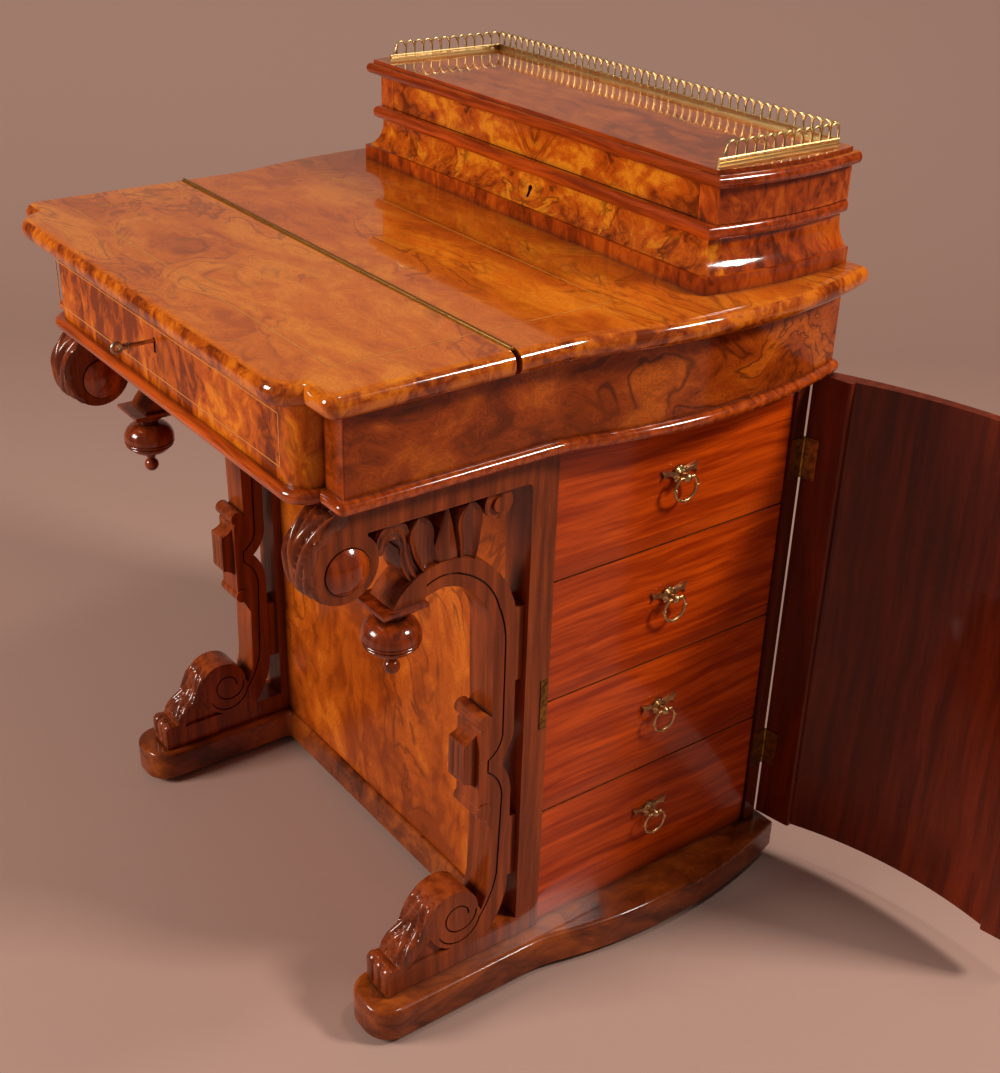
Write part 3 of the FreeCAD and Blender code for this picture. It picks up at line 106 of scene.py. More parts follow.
SWEEP_R = 0.9
SWEEP_FROM = 1.6
FLOOR_FRONT = -14.0
FLOOR_HALF_W = 16.0
WALL_TOP = 4.5
sweep = [(FLOOR_FRONT, 0.0), (SWEEP_FROM, 0.0)]
for turn in range(10, 91, 10):
    a = math.radians(turn)
    sweep.append((SWEEP_FROM + SWEEP_R * math.sin(a), SWEEP_R * (1 - math.cos(a))))
sweep.append((SWEEP_FROM + SWEEP_R, WALL_TOP))
floor_corners = [(x, y, z) for y, z in sweep for x in (-FLOOR_HALF_W, FLOOR_HALF_W)]
floor_strips = [(2 * i, 2 * i + 1, 2 * i + 3, 2 * i + 2) for i in range(len(sweep) - 1)]
floor_mesh = bpy.data.meshes.new("floor")
floor_mesh.from_pydata(floor_corners, [], floor_strips)
floor_mesh.shade_smooth()
floor = bpy.data.objects.new("floor", floor_mesh)
floor.rotation_euler = (0.0, 0.0, YAW)
scene.collection.objects.link(floor)
paint = bpy.data.materials.new("studio_paint")
paint.use_nodes = True
paint_shader = paint.node_tree.nodes["Principled BSDF"]
paint_shader.inputs["Base Color"].default_value = tone(174, 140, 127)
paint_shader.inputs["Roughness"].default_value = 0.75
floor_mesh.materials.append(paint)


# Plinth: a thick sledge-shaped board veneered in burr walnut that stands on four sunk brass casters.
# Its top edge is rounded over, and its polish is duller than the polish of the top.
# The wood figures and the polish set up here serve every wooden piece; the polish paints shade into their
# corners.
FLOAT, COLOUR, VECTOR = "NodeSocketFloat", "NodeSocketColor", "NodeSocketVector"


def put(tree, kind, **values):
    """Add a shader node: sockets by name with spaces as underscores, node settings in lower case."""
    made = tree.nodes.new(kind)
    for key, value in values.items():
        if key[0].islower():
            setattr(made, key, value)
        else:
            made.inputs[key.replace("_", " ")].default_value = value
    return made


def shade_group(name, inputs, outputs):
    """Empty shader group with the given sockets."""
    group = bpy.data.node_groups.new(name, "ShaderNodeTree")
    for label, kind, value in inputs:
        socket = group.interface.new_socket(name=label, in_out="INPUT", socket_type=kind)
        if value is not None:
            socket.default_value = value
    for label, kind in outputs:
        group.interface.new_socket(name=label, in_out="OUTPUT", socket_type=kind)
    return group, group.nodes.new("NodeGroupInput"), group.nodes.new("NodeGroupOutput")


def ramp(tree, value, stops):
    """Grey value picked along a soft ramp, from pairs of place and grey."""
    made = tree.nodes.new("ShaderNodeValToRGB")
    made.color_ramp.interpolation = "EASE"
    points = made.color_ramp.elements
    while len(points) < len(stops):
        points.new(0.5)
    for point, (place, grey) in zip(points, stops):
        point.position = place
        point.color = (grey, grey, grey, 1.0)
    tree.links.new(value, made.inputs["Fac"])
    return made.outputs["Color"]


def maths(tree, kind, *values):
    """Math node fed by sockets or numbers."""
    made = tree.nodes.new("ShaderNodeMath")
    made.operation = kind
    for socket, value in zip(made.inputs, values):
        if isinstance(value, (int, float)):
            socket.default_value = value
        else:
            tree.links.new(value, socket)
    return made.outputs[0]


def mixed(tree, share, a, b):
    """Colour between a and b; each of the three is a socket or a plain value."""
    made = tree.nodes.new("ShaderNodeMix")
    made.data_type = "RGBA"
    # Inputs 6 and 7 and output 2 are the node's colour sockets.
    for socket, value in ((made.inputs[0], share), (made.inputs[6], a), (made.inputs[7], b)):
        if hasattr(value, "links"):
            tree.links.new(value, socket)
        else:
            socket.default_value = value
    return made.outputs[2]


def noise(tree, vector, scale, detail, roughness=0.5, distortion=0.0):
    """Noise node fed with a place, its scale a socket or a number."""
    made = put(tree, "ShaderNodeTexNoise", Detail=detail, Roughness=roughness, Distortion=distortion)
    tree.links.new(vector, made.inputs["Vector"])
    if isinstance(scale, (int, float)):
        made.inputs["Scale"].default_value = scale
    else:
        tree.links.new(scale, made.inputs["Scale"])
    return made


def bent_place(tree, vector, scale, reach):
    """Place pushed about by a slow noise, so that what is drawn there swirls."""
    drift = noise(tree, vector, scale, 2.0)
    centred = put(tree, "ShaderNodeVectorMath", operation="SUBTRACT")
    centred.inputs[1].default_value = (0.5, 0.5, 0.5)
    tree.links.new(drift.outputs["Color"], centred.inputs[0])
    push = put(tree, "ShaderNodeVectorMath", operation="SCALE")
    tree.links.new(centred.outputs[0], push.inputs[0])
    tree.links.new(reach, push.inputs["Scale"])
    moved = put(tree, "ShaderNodeVectorMath", operation="ADD")
    tree.links.new(push.outputs[0], moved.inputs[0])
    tree.links.new(vector, moved.inputs[1])
    return moved.outputs[0]


def waves(tree, value, turns):
    """Even waves from 0 to 1 along a slowly changing value."""
    swing = maths(tree, "SINE", maths(tree, "MULTIPLY", value, turns))
    return maths(tree, "MULTIPLY_ADD", swing, 0.5, 0.5)


CONTOUR_TURNS = 58.0
FLOW_TURNS = 170.0
PORE_SCALE = 620.0


def build_burr_figure():
    """Burr walnut: swirling clouds, thin dark contour lines, mottle, clustered eyes and pores."""
    tree, into, out = shade_group("burr_figure", [
        ("Vector", VECTOR, None), ("Swirl", FLOAT, 14.0), ("Lines", FLOAT, 0.5), ("Mottle", FLOAT, 0.5),
        ("Eyes", FLOAT, 0.4), ("Light", COLOUR, None), ("Middle", COLOUR, None), ("Dark", COLOUR, None),
        ("Vein", COLOUR, None)], [("Color", COLOUR), ("Figure", FLOAT)])
    swirl = into.outputs["Swirl"]
    place = bent_place(tree, into.outputs["Vector"], maths(tree, "MULTIPLY", swirl, 0.5),
                       maths(tree, "DIVIDE", 1.1, swirl))
    cloud = noise(tree, place, swirl, 4.0, 0.5, 0.5).outputs["Fac"]
    blotch = noise(tree, place, maths(tree, "MULTIPLY", swirl, 4.2), 3.0, 0.55, 0.6).outputs["Fac"]
    patch = noise(tree, place, maths(tree, "MULTIPLY", swirl, 0.7), 2.0).outputs["Fac"]
    stirred = maths(tree, "MULTIPLY_ADD", maths(tree, "SUBTRACT", blotch, 0.5),
                    into.outputs["Mottle"], cloud)
    contour = waves(tree, cloud, CONTOUR_TURNS)
    thin = maths(tree, "MULTIPLY", maths(tree, "POWER", contour, 5.0),
                 ramp(tree, patch, [(0.40, 0.1), (0.60, 1.0)]))
    flow = waves(tree, stirred, FLOW_TURNS)
    fine = maths(tree, "MULTIPLY", maths(tree, "POWER", flow, 2.0), 0.45)
    lines = maths(tree, "MULTIPLY", maths(tree, "MAXIMUM", thin, fine), into.outputs["Lines"])
    cell = put(tree, "ShaderNodeTexVoronoi", feature="F1", Randomness=1.0)
    tree.links.new(place, cell.inputs["Vector"])
    tree.links.new(maths(tree, "MULTIPLY", swirl, 9.0), cell.inputs["Scale"])
    dot = maths(tree, "MULTIPLY", ramp(tree, cell.outputs["Distance"], [(0.12, 1.0), (0.36, 0.0)]),
                ramp(tree, patch, [(0.50, 0.0), (0.62, 1.0)]))
    eyes = maths(tree, "MULTIPLY", dot, into.outputs["Eyes"])
    body = mixed(tree, ramp(tree, stirred, [(0.30, 0.0), (0.50, 1.0)]),
                 into.outputs["Dark"], into.outputs["Middle"])
    body = mixed(tree, ramp(tree, stirred, [(0.48, 0.0), (0.68, 1.0)]), body, into.outputs["Light"])
    pores = ramp(tree, noise(tree, place, PORE_SCALE, 2.0, 0.7).outputs["Fac"], [(0.30, 0.30), (0.46, 0.0)])
    marks = maths(tree, "MAXIMUM", maths(tree, "MAXIMUM", lines, eyes), pores)
    tree.links.new(mixed(tree, marks, body, into.outputs["Vein"]), out.inputs["Color"])
    tree.links.new(stirred, out.inputs["Figure"])
    return tree


def stretched(tree, vector, scale):
    """Place scaled by its own amount along each axis, so that noise drawn there runs out into streaks."""
    made = put(tree, "ShaderNodeMapping", Scale=scale)
    tree.links.new(vector, made.inputs["Vector"])
    return made.outputs[0]


def build_straight_grain():
    """Plain sawn wood with its grain along X: long streaks, a soft ribbon stripe and short pores."""
    tree, into, out = shade_group("straight_grain", [
        ("Vector", VECTOR, None), ("Fineness", FLOAT, 1.0), ("Ribbon", FLOAT, 0.4), ("Bend", FLOAT, 0.02),
        ("Light", COLOUR, None), ("Dark", COLOUR, None)], [("Color", COLOUR), ("Figure", FLOAT)])
    fineness = into.outputs["Fineness"]
    place = bent_place(tree, into.outputs["Vector"], 5.0, into.outputs["Bend"])
    streak = noise(tree, stretched(tree, place, (1.6, 30.0, 30.0)), maths(tree, "MULTIPLY", fineness, 1.6),
                   5.0, 0.6).outputs["Fac"]
    ribbon = noise(tree, stretched(tree, place, (2.6, 20.0, 20.0)), fineness, 1.5).outputs["Fac"]
    pore = noise(tree, stretched(tree, place, (26.0, PORE_SCALE, PORE_SCALE)), 1.0, 2.0).outputs["Fac"]
    body = mixed(tree, ramp(tree, streak, [(0.32, 0.0), (0.68, 1.0)]),
                 into.outputs["Dark"], into.outputs["Light"])
    stripe = maths(tree, "MULTIPLY", ramp(tree, ribbon, [(0.38, 0.0), (0.62, 1.0)]), into.outputs["Ribbon"])
    body = mixed(tree, stripe, body, into.outputs["Dark"])
    body = mixed(tree, ramp(tree, pore, [(0.34, 0.30), (0.46, 0.0)]), body, into.outputs["Dark"])
    tree.links.new(body, out.inputs["Color"])
    tree.links.new(streak, out.inputs["Figure"])
    return tree


def build_corner_shade_and_haze():
    """Painted shade darkening the colour in corners and recesses, where the gloss is also rougher, and a
    faint haze and handling marks in the gloss.
    """
    tree, into, out = shade_group("old_polish", [
        ("Color", COLOUR, None), ("Grime", COLOUR, None), ("Reach", FLOAT, 0.012),
        ("Roughness", FLOAT, 0.25)], [("Color", COLOUR), ("Roughness", FLOAT)])
    # Ambient occlusion finds the corners and recesses where painted shade darkens the colour.
    corner = put(tree, "ShaderNodeAmbientOcclusion", samples=6)
    tree.links.new(into.outputs["Reach"], corner.inputs["Distance"])
    hollow_shade_and_patina = ramp(tree, corner.outputs["AO"], [(0.25, 0.85), (0.80, 0.0)])
    tree.links.new(mixed(tree, hollow_shade_and_patina, into.outputs["Color"], into.outputs["Grime"]), out.inputs["Color"])
    place = put(tree, "ShaderNodeTexCoord").outputs["Object"]
    haze = maths(tree, "SUBTRACT", noise(tree, place, 9.0, 6.0, 0.65).outputs["Fac"], 0.5)
    rough = maths(tree, "MULTIPLY_ADD", haze, 0.20, into.outputs["Roughness"])
    tree.links.new(maths(tree, "MULTIPLY_ADD", hollow_shade_and_patina, 0.25, rough), out.inputs["Roughness"])
    return tree


burr_figure = build_burr_figure()
straight_grain = build_straight_grain()
old_polish = build_corner_shade_and_haze()
# Colour of the painted shade that the polish lays into corners and recesses.
CORNER_SHADE_COLOUR = tone(30, 11, 5)


def burr(light, middle, dark, vein=(64, 22, 6), swirl=14.0, lines=0.5, mottle=0.6, eyes=0.4, **lay):
    """Burr veneer: its colours, its figure and how the sheet is laid."""
    values = {"Swirl": swirl, "Lines": lines, "Mottle": mottle, "Eyes": eyes,
              "Light": tone(*light), "Middle": tone(*middle), "Dark": tone(*dark), "Vein": tone(*vein)}
    return burr_figure, values, lay


def plain(light, dark, fineness=1.0, ribbon=0.4, bend=0.02, **lay):
    """Straight-grained wood: its two colours, its grain and how it is cut."""
    values = {"Fineness": fineness, "Ribbon": ribbon, "Bend": bend,
              "Light": tone(*light), "Dark": tone(*dark)}
    return straight_grain, values, lay


def laid(tree, group, values, turn=(0, 0, 0), scale=(1, 1, 1), shift=(0, 0, 0), fold=None):
    """Place a figure group on the piece. With fold, two leaves are book-matched about that X."""
    place = put(tree, "ShaderNodeTexCoord").outputs["Object"]
    if fold is not None:
        centre = put(tree, "ShaderNodeVectorMath", operation="SUBTRACT")
        centre.inputs[1].default_value = (fold, 0.0, 0.0)
        tree.links.new(place, centre.inputs[0])
        leaves = put(tree, "ShaderNodeVectorMath", operation="ABSOLUTE")
        tree.links.new(centre.outputs[0], leaves.inputs[0])
        place = leaves.outputs[0]
    lay = put(tree, "ShaderNodeMapping", Location=shift, Rotation=[math.radians(a) for a in turn],
              Scale=scale)
    tree.links.new(place, lay.inputs["Vector"])
    figure = tree.nodes.new("ShaderNodeGroup")
    figure.node_tree = group
    for key, value in values.items():
        figure.inputs[key].default_value = value
    tree.links.new(lay.outputs[0], figure.inputs["Vector"])
    return figure


def polished_wood(name, face, edge=None, facing=(0, 0, 1), rough=0.24, coat=0.6, coat_rough=0.07,
                  reach=0.012):
    """French-polished wood. With edge, that wood shows wherever the surface doesn't face the given way."""
    mat = bpy.data.materials.new(name)
    mat.use_nodes = True
    tree = mat.node_tree
    shader = tree.nodes["Principled BSDF"]
    group, values, lay = face
    figure = laid(tree, group, values, **lay)
    colour = figure.outputs["Color"]
    if edge:
        group, values, lay = edge
        cross = laid(tree, group, values, **lay)
        turned = put(tree, "ShaderNodeVectorMath", operation="DOT_PRODUCT")
        turned.inputs[1].default_value = facing
        tree.links.new(put(tree, "ShaderNodeTexCoord").outputs["Normal"], turned.inputs[0])
        away = ramp(tree, turned.outputs["Value"], [(0.80, 1.0), (0.92, 0.0)])
        colour = mixed(tree, away, colour, cross.outputs["Color"])
    # This group paints shade into the colour in corners and recesses, and hazes the gloss.
    age = tree.nodes.new("ShaderNodeGroup")
    age.node_tree = old_polish
    age.inputs["Grime"].default_value = CORNER_SHADE_COLOUR
    age.inputs["Reach"].default_value = reach
    age.inputs["Roughness"].default_value = rough
    tree.links.new(colour, age.inputs["Color"])
    tree.links.new(age.outputs["Color"], shader.inputs["Base Color"])
    tree.links.new(age.outputs["Roughness"], shader.inputs["Roughness"])
    bump = put(tree, "ShaderNodeBump", Strength=0.05, Distance=0.001)
    tree.links.new(figure.outputs["Figure"], bump.inputs["Height"])
    tree.links.new(bump.outputs[0], shader.inputs["Normal"])
    shader.inputs["Specular IOR Level"].default_value = 0.12
    shader.inputs["Coat Weight"].default_value = coat
    shader.inputs["Coat Roughness"].default_value = coat_rough
    return mat


ARRIS_ANGLE = math.radians(38)


def finish(node, mat, arris=0.0):
    """Give a CAD piece its material and, if wanted, a softened edge."""
    piece = nodes[node]
    for slot in piece.material_slots:
        slot.material = mat
    if arris:
        soft = piece.modifiers.new("soft_arris", "BEVEL")
        soft.width = arris
        soft.segments = 2
        soft.limit_method = "ANGLE"
        soft.angle_limit = ARRIS_ANGLE


plinth_walnut = polished_wood(
    "plinth_walnut",
    burr((166, 79, 23), (128, 55, 16), (78, 30, 9), (46, 17, 6), swirl=12.0, lines=0.4, eyes=0.2,
         scale=(1.0, 0.5, 1.0)),
    rough=0.28, coat=0.5)
finish("plinth", plinth_walnut)


# Casters: cast brass plates screwed up into the plinth, swivelling forks and small solid wheels.
# They are sunk into round wells, so that only shadow shows from above, and the brass has gone brown.
def build_tarnish():
    """Old brass: brown in the hollows and in cloudy patches, bright where it is rubbed."""
    tree, into, out = shade_group("tarnish", [
        ("Bright", COLOUR, None), ("Brown", COLOUR, None), ("Age", FLOAT, 0.4)],
        [("Color", COLOUR), ("Roughness", FLOAT)])
    place = put(tree, "ShaderNodeTexCoord").outputs["Object"]
    hollow = put(tree, "ShaderNodeAmbientOcclusion", samples=6, Distance=0.004)
    hollow_shade_and_patina = ramp(tree, hollow.outputs["AO"], [(0.35, 1.0), (0.90, 0.0)])
    patch = ramp(tree, noise(tree, place, 140.0, 5.0, 0.6).outputs["Fac"], [(0.38, 0.0), (0.66, 1.0)])
    brown = maths(tree, "MULTIPLY", maths(tree, "MAXIMUM", patch, hollow_shade_and_patina), into.outputs["Age"])
    tree.links.new(mixed(tree, brown, into.outputs["Bright"], into.outputs["Brown"]), out.inputs["Color"])
    tree.links.new(maths(tree, "MULTIPLY_ADD", brown, 0.30, 0.28), out.inputs["Roughness"])
    return tree


tarnish = build_tarnish()


def metal(name, bright, brown, age):
    """Old metal: its bright colour, its tarnished colour and how far it has aged."""
    mat = bpy.data.materials.new(name)
    mat.use_nodes = True
    tree = mat.node_tree
    shader = tree.nodes["Principled BSDF"]
    shader.inputs["Metallic"].default_value = 1.0
    film = tree.nodes.new("ShaderNodeGroup")
    film.node_tree = tarnish
    film.inputs["Bright"].default_value = tone(*bright)
    film.inputs["Brown"].default_value = tone(*brown)
    film.inputs["Age"].default_value = age
    tree.links.new(film.outputs["Color"], shader.inputs["Base Color"])
    tree.links.new(film.outputs["Roughness"], shader.inputs["Roughness"])
    return mat


old_brass = metal("old_brass", (196, 150, 84), (92, 62, 34), 0.75)
finish("caster_plates", old_brass)
for number in range(1, 5):
    finish("caster_fork_%d" % number, old_brass)
    finish("caster_wheel_%d" % number, old_brass)


# Carcase: a burr-veneered front panel between the brackets, a plain framed back, and the drawer boards.
# The left side is a bowed burr panel. The boards inside are mahogany, left thin in polish.
FRAME_ARRIS = 0.0008
BOARD_ARRIS = 0.0006
panel_burr = polished_wood(
    "panel_burr",
    burr((218, 112, 29), (188, 86, 19), (148, 61, 13), (110, 45, 10), swirl=10.0, lines=0.75, mottle=0.6,
         eyes=0.3, turn=(0, 40, 0), scale=(1.0, 1.0, 0.6), shift=(0.4, 0.2, 0.1)),
    rough=0.26, coat=0.2, reach=0.02)
frame_mahogany = polished_wood(
    "frame_mahogany", plain((122, 48, 18), (74, 26, 10), fineness=1.2, turn=(0, 90, 0)), rough=0.4, coat=0.3)
board_mahogany = polished_wood(
    "board_mahogany", plain((214, 82, 12), (146, 44, 6), fineness=1.1, turn=(0, 0, 90)), rough=0.34, coat=0.5)
side_burr = polished_wood(
    "side_burr",
    burr((184, 86, 22), (148, 58, 14), (92, 34, 9), swirl=14.0, lines=0.6, mottle=0.8, turn=(20, 0, 0),
         scale=(1.0, 0.8, 1.2), shift=(0.2, 0.7, 0.0)))
finish("front_panel", panel_burr)
finish("back_frame", frame_mahogany, FRAME_ARRIS)
finish("carcase_floor", board_mahogany, BOARD_ARRIS)
finish("dust_boards", board_mahogany, BOARD_ARRIS)
finish("left_panel", side_burr)


# Brackets: two fret-cut scrolls of solid walnut, 38 mm thick, with their carving cut from the same wood.
# A folded leaf covers the console's nose, another the slope of the foot, and a spray of leaves fills the
# space over the arch. The bosses on the scrolls and the pendants under them are turned and glued on.
RAIL_H = 0.032
ROLL_PROUD = 0.0015
LEAF_INSET = 0.005
BLOCK_INSET = 0.006
LAP = 0.0007
LAP_BEND = 0.8
CARVE_SINK = 0.0006
REED_SINK = 0.0004
BRACKET_ARRIS = 0.0014
bracket_low, bracket_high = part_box("right_bracket")
FACE_IN, FACE_OUT = bracket_low[0] + ROLL_PROUD, bracket_high[0] - ROLL_PROUD
STILE_BACK = bracket_high[1]


def low(u, v):
    """Depth and height of a bracket point given in millimetres from the stile's back edge and the plinth."""
    return STILE_BACK + u / 1000, bracket_low[2] + v / 1000


def high(u, drop):
    """The same for a point given in millimetres below the top rail."""
    return STILE_BACK + u / 1000, bracket_high[2] - RAIL_H - drop / 1000


def arc_through(a, b, c, count=14):
    """Points along the circle through three places, from the first to the last."""
    (ax, ay), (bx, by), (cx, cy) = a, b, c
    twice = 2 * (ax * (by - cy) + bx * (cy - ay) + cx * (ay - by))
    aa, bb, cc = ax * ax + ay * ay, bx * bx + by * by, cx * cx + cy * cy
    ox = (aa * (by - cy) + bb * (cy - ay) + cc * (ay - by)) / twice
    oy = (aa * (cx - bx) + bb * (ax - cx) + cc * (bx - ax)) / twice
    radius = math.hypot(ax - ox, ay - oy)
    start, middle, end = (math.atan2(y - oy, x - ox) for x, y in (a, b, c))
    swing = (end - start) % math.tau
    if (middle - start) % math.tau > swing:
        swing -= math.tau
    turns = [start + swing * k / count for k in range(count + 1)]
    return [(ox + radius * math.cos(w), oy + radius * math.sin(w)) for w in turns]


def even(points, count):
    """The same line through points at even steps."""
    runs = [math.dist(p, q) for p, q in zip(points, points[1:])]
    total = sum(runs)
    placed, here, done = [], 0, 0.0
    for k in range(count + 1):
        want = total * k / count
        while here < len(runs) - 1 and done + runs[here] < want:
            done += runs[here]
            here += 1
        share = (want - done) / runs[here] if runs[here] else 0.0
        placed.append(tuple(a + (b - a) * min(share, 1.0) for a, b in zip(points[here], points[here + 1])))
    return placed


def grid(rows, ring=False):
    """Quads through rows of points; with ring, each row runs round and closes."""
    width = len(rows[0])
    faces = []
    for r in range(len(rows) - 1):
        for c in range(width if ring else width - 1):
            d = (c + 1) % width
            faces.append((r * width + c, r * width + d, (r + 1) * width + d, (r + 1) * width + c))
    return [p for row in rows for p in row], faces


def capped(rings):
    """Closed form through rings of points, with its first and last ring filled."""
    places, faces = grid(rings, ring=True)
    count = len(rings[0])
    return places, faces + [tuple(range(count)), tuple(range(len(places) - count, len(places)))]


def mirrored(parts):
    """The same patches for the other side of the desk."""
    return [([(-x, y, z) for x, y, z in places], faces) for places, faces in parts]


SHARP_ANGLE = math.radians(50)


def piece_of(name, parts, mat, body):
    """One mesh from several patches, fixed to a body and given its material."""
    form = bmesh.new()
    for places, faces in parts:
        corners = [form.verts.new(p) for p in places]
        for face in faces:
            form.faces.new([corners[i] for i in face])
    bmesh.ops.recalc_face_normals(form, faces=form.faces)
    mesh = bpy.data.meshes.new(name)
    form.to_mesh(mesh)
    form.free()
    mesh.shade_smooth()
    mesh.set_sharp_from_angle(angle=SHARP_ANGLE)
    mesh.materials.append(mat)
    made = bpy.data.objects.new(name, mesh)
    scene.collection.objects.link(made)
    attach(made, body)
    return made


def carved_band(line, relief, lap, inset=0.0, across=24):
    """Carving over the bracket's edge: relief across its thickness, its borders lapped onto both faces."""
    rows = []
    x0, x1 = FACE_IN + inset, FACE_OUT - inset
    last = len(line) - 1
    for k, (y, z) in enumerate(line):
        before, after = line[max(k - 1, 0)], line[min(k + 1, last)]
        run = math.dist(before, after)
        ny, nz = (after[1] - before[1]) / run, (before[0] - after[0]) / run
        t = k / last
        edge = lap(t)
        border = (y - ny * edge, z - nz * edge)
        bend = (y - ny * LAP_BEND * edge, z - nz * LAP_BEND * edge)
        row = [(x0 + LAP, *border), (x0 - LAP, *bend), (x0 - LAP, y, z)]
        for j in range(across + 1):
            h = relief(2 * j / across - 1, t)
            row.append((x0 + (x1 - x0) * j / across, y + ny * h, z + nz * h))
        row += [(x1 + LAP, y, z), (x1 + LAP, *bend), (x1 - LAP, *border)]
        rows.append(row)
    return grid(rows)


def fade(t, head, tail):
    """Share of the relief that is left near the two ends of a carved band."""
    return min(1.0, t / head, (1 - t) / tail)


NOSE_FLUTE, NOSE_RIB = 0.0046, 0.0022
NOSE_ROOT_LAP, NOSE_TONGUE, NOSE_LAP = 0.009, 0.0030, 0.001
SLOPE_FLUTE, SLOPE_SWELL = 0.0036, 0.0052
SLOPE_TONGUE, SLOPE_LAP = 0.0035, 0.0015
TOE_REED, TOE_LAP = 0.0028, 0.0012
BLOCK_REED, BLOCK_LAP = 0.0016, 0.0008


def nose_relief(s, t):
    """Slanting flutes on both sides of a middle rib."""
    rib = math.exp(-(s / 0.16) ** 2)
    flute = abs(math.cos(math.pi * (1.8 * abs(s) + 2.2 * t)))
    return (CARVE_SINK + NOSE_FLUTE * flute + NOSE_RIB * rib) * fade(t, 0.06, 0.22) - CARVE_SINK


def nose_lap(t):
    """How far the nose leaf reaches onto the faces: wide at its root, then in small tongues."""
    return NOSE_ROOT_LAP * (1 - t) + NOSE_TONGUE * abs(math.sin(5 * math.pi * t)) + NOSE_LAP


def slope_relief(s, t):
    """Slanting flutes that rise over a swelling near the toe."""
    swell = math.exp(-((t - 0.74) / 0.17) ** 2) * (1 - 0.45 * s * s)
    flute = abs(math.cos(math.pi * (1.7 * abs(s) - 2.0 * t)))
    return (CARVE_SINK + SLOPE_FLUTE * flute + SLOPE_SWELL * swell) * fade(t, 0.15, 0.08) - CARVE_SINK


def slope_lap(t):
    """How far the slope's leaf reaches onto the faces, in three tongues."""
    return SLOPE_LAP + SLOPE_TONGUE * abs(math.sin(3 * math.pi * t))


def reeds(count, rise):
    """Even half-round reeds side by side."""
    def relief(s, t):
        rounding = math.sqrt(abs(math.sin(count * math.pi * (s + 1) / 2)))
        return rise * rounding * fade(t, 0.08, 0.08) - REED_SINK
    return relief


nose_line = even([high(-227.5, -31.5)] + arc_through(high(-231.5, -21), high(-249.5, -9), high(-260.8, 24))
                 + arc_through(high(-260.8, 24), high(-227, 61.5), high(-193.2, 24))[1:6], 56)
slope_line = even(arc_through(low(-112, 97), low(-128, 91.2), low(-141.5, 72))[5:]
                  + arc_through(low(-141.5, 72), low(-154.5, 50), low(-175.3, 31))[1:], 48)
toe_line = even(arc_through(low(-181, 32), low(-187.5, 30.5), low(-189.5, 24), 6) + [low(-189.5, 1.5)], 24)
block_line = even([low(-95.5, 268), low(-95.5, 224)], 12)
bands = [carved_band(nose_line, nose_relief, nose_lap),
         carved_band(slope_line, slope_relief, slope_lap),
         carved_band(toe_line, reeds(3, TOE_REED), lambda t: TOE_LAP),
         carved_band(block_line, reeds(3, BLOCK_REED), lambda t: BLOCK_LAP, BLOCK_INSET)]
CURL_RISE, CURL_LOBE = 0.0022, 0.0013
SPOON_FLOOR, SPOON_RIM = 0.0006, 0.0056
SPEAR_RISE = 0.0044


def curl_relief(s, t):
    """Rims at both borders and a rounded lobe between two grooves."""
    lobe = CURL_LOBE * math.cos(4 * math.pi * (s - 0.5))
    return (CURL_RISE + lobe) * (1 - 0.45 * t) * fade(t, 0.06, 0.06)


def spoon_relief(s, t):
    """Hollow middle between two rounded rims."""
    rim = abs(2 * s - 1)
    rounding = math.sqrt(min(1.0, (1 - rim) / 0.14))
    return (SPOON_FLOOR + SPOON_RIM * rim ** 3) * rounding * fade(t, 0.04, 0.04)


def spear_relief(s, t):
    """Ridge along the middle that falls to both borders."""
    return SPEAR_RISE * (1 - abs(2 * s - 1)) ** 0.8 * (1 - 0.4 * t)


def blade(left, right, relief, rows=26, across=16):
    """Leaf on both faces of the bracket, between its two border lines."""
    pairs = list(zip(even(left, rows), even(right, rows)))
    made = []
    for face, out in ((FACE_OUT - LEAF_INSET, 1), (FACE_IN + LEAF_INSET, -1)):
        sheet = []
        for k, ((ly, lz), (ry, rz)) in enumerate(pairs):
            row = []
            for j in range(across + 1):
                s = j / across
                h = relief(s, k / rows) if 0 < j < across else -CARVE_SINK
                row.append((face + out * h, ly + (ry - ly) * s, lz + (rz - lz) * s))
            sheet.append(row)
        made.append(grid(sheet))
    return made


curl = blade(arc_through(high(-154, 68), high(-167, 52), high(-170, 28))
             + arc_through(high(-170, 28), high(-177.5, 16), high(-184, 26))[1:],
             arc_through(high(-142, 66), high(-155, 45), high(-160, 22))
             + arc_through(high(-160, 22), high(-178, -1.5), high(-193, 22))[1:], curl_relief)


def carved_leaf(left, right, relief, rows=30, across=16):
    """Leaf through the bracket's thickness between two border lines, with the same relief on both faces."""
    rings = []
    for k, ((ly, lz), (ry, rz)) in enumerate(zip(even(left, rows), even(right, rows))):
        outer, inner = [], []
        for j in range(across + 1):
            s = j / across
            h = relief(s, k / rows)
            y, z = ly + (ry - ly) * s, lz + (rz - lz) * s
            outer.append((FACE_OUT - LEAF_INSET + h, y, z))
            inner.append((FACE_IN + LEAF_INSET - h, y, z))
        rings.append(outer + inner[::-1])
    return capped(rings)


front_leaf = carved_leaf(
    arc_through(high(-128, 74), high(-152, 50), high(-161.5, 26))
    + arc_through(high(-161.5, 26), high(-160, 10), high(-151, 2))[1:],
    arc_through(high(-118, 70), high(-130, 48), high(-135, 26))
    + arc_through(high(-135, 26), high(-138, 9), high(-147, 2))[1:], spoon_relief)
spear = carved_leaf(arc_through(high(-152, 74), high(-135, 42), high(-121, -2)),
                    arc_through(high(-88, 74), high(-105, 42), high(-119, -2)), spear_relief)
rear_leaf = carved_leaf(
    arc_through(high(-110, 72), high(-109, 46), high(-112, 24))
    + arc_through(high(-112, 24), high(-108, 8), high(-97, 2))[1:],
    arc_through(high(-96, 74), high(-88, 52), high(-84, 30))
    + arc_through(high(-84, 30), high(-84, 12), high(-92, 2))[1:], spoon_relief)

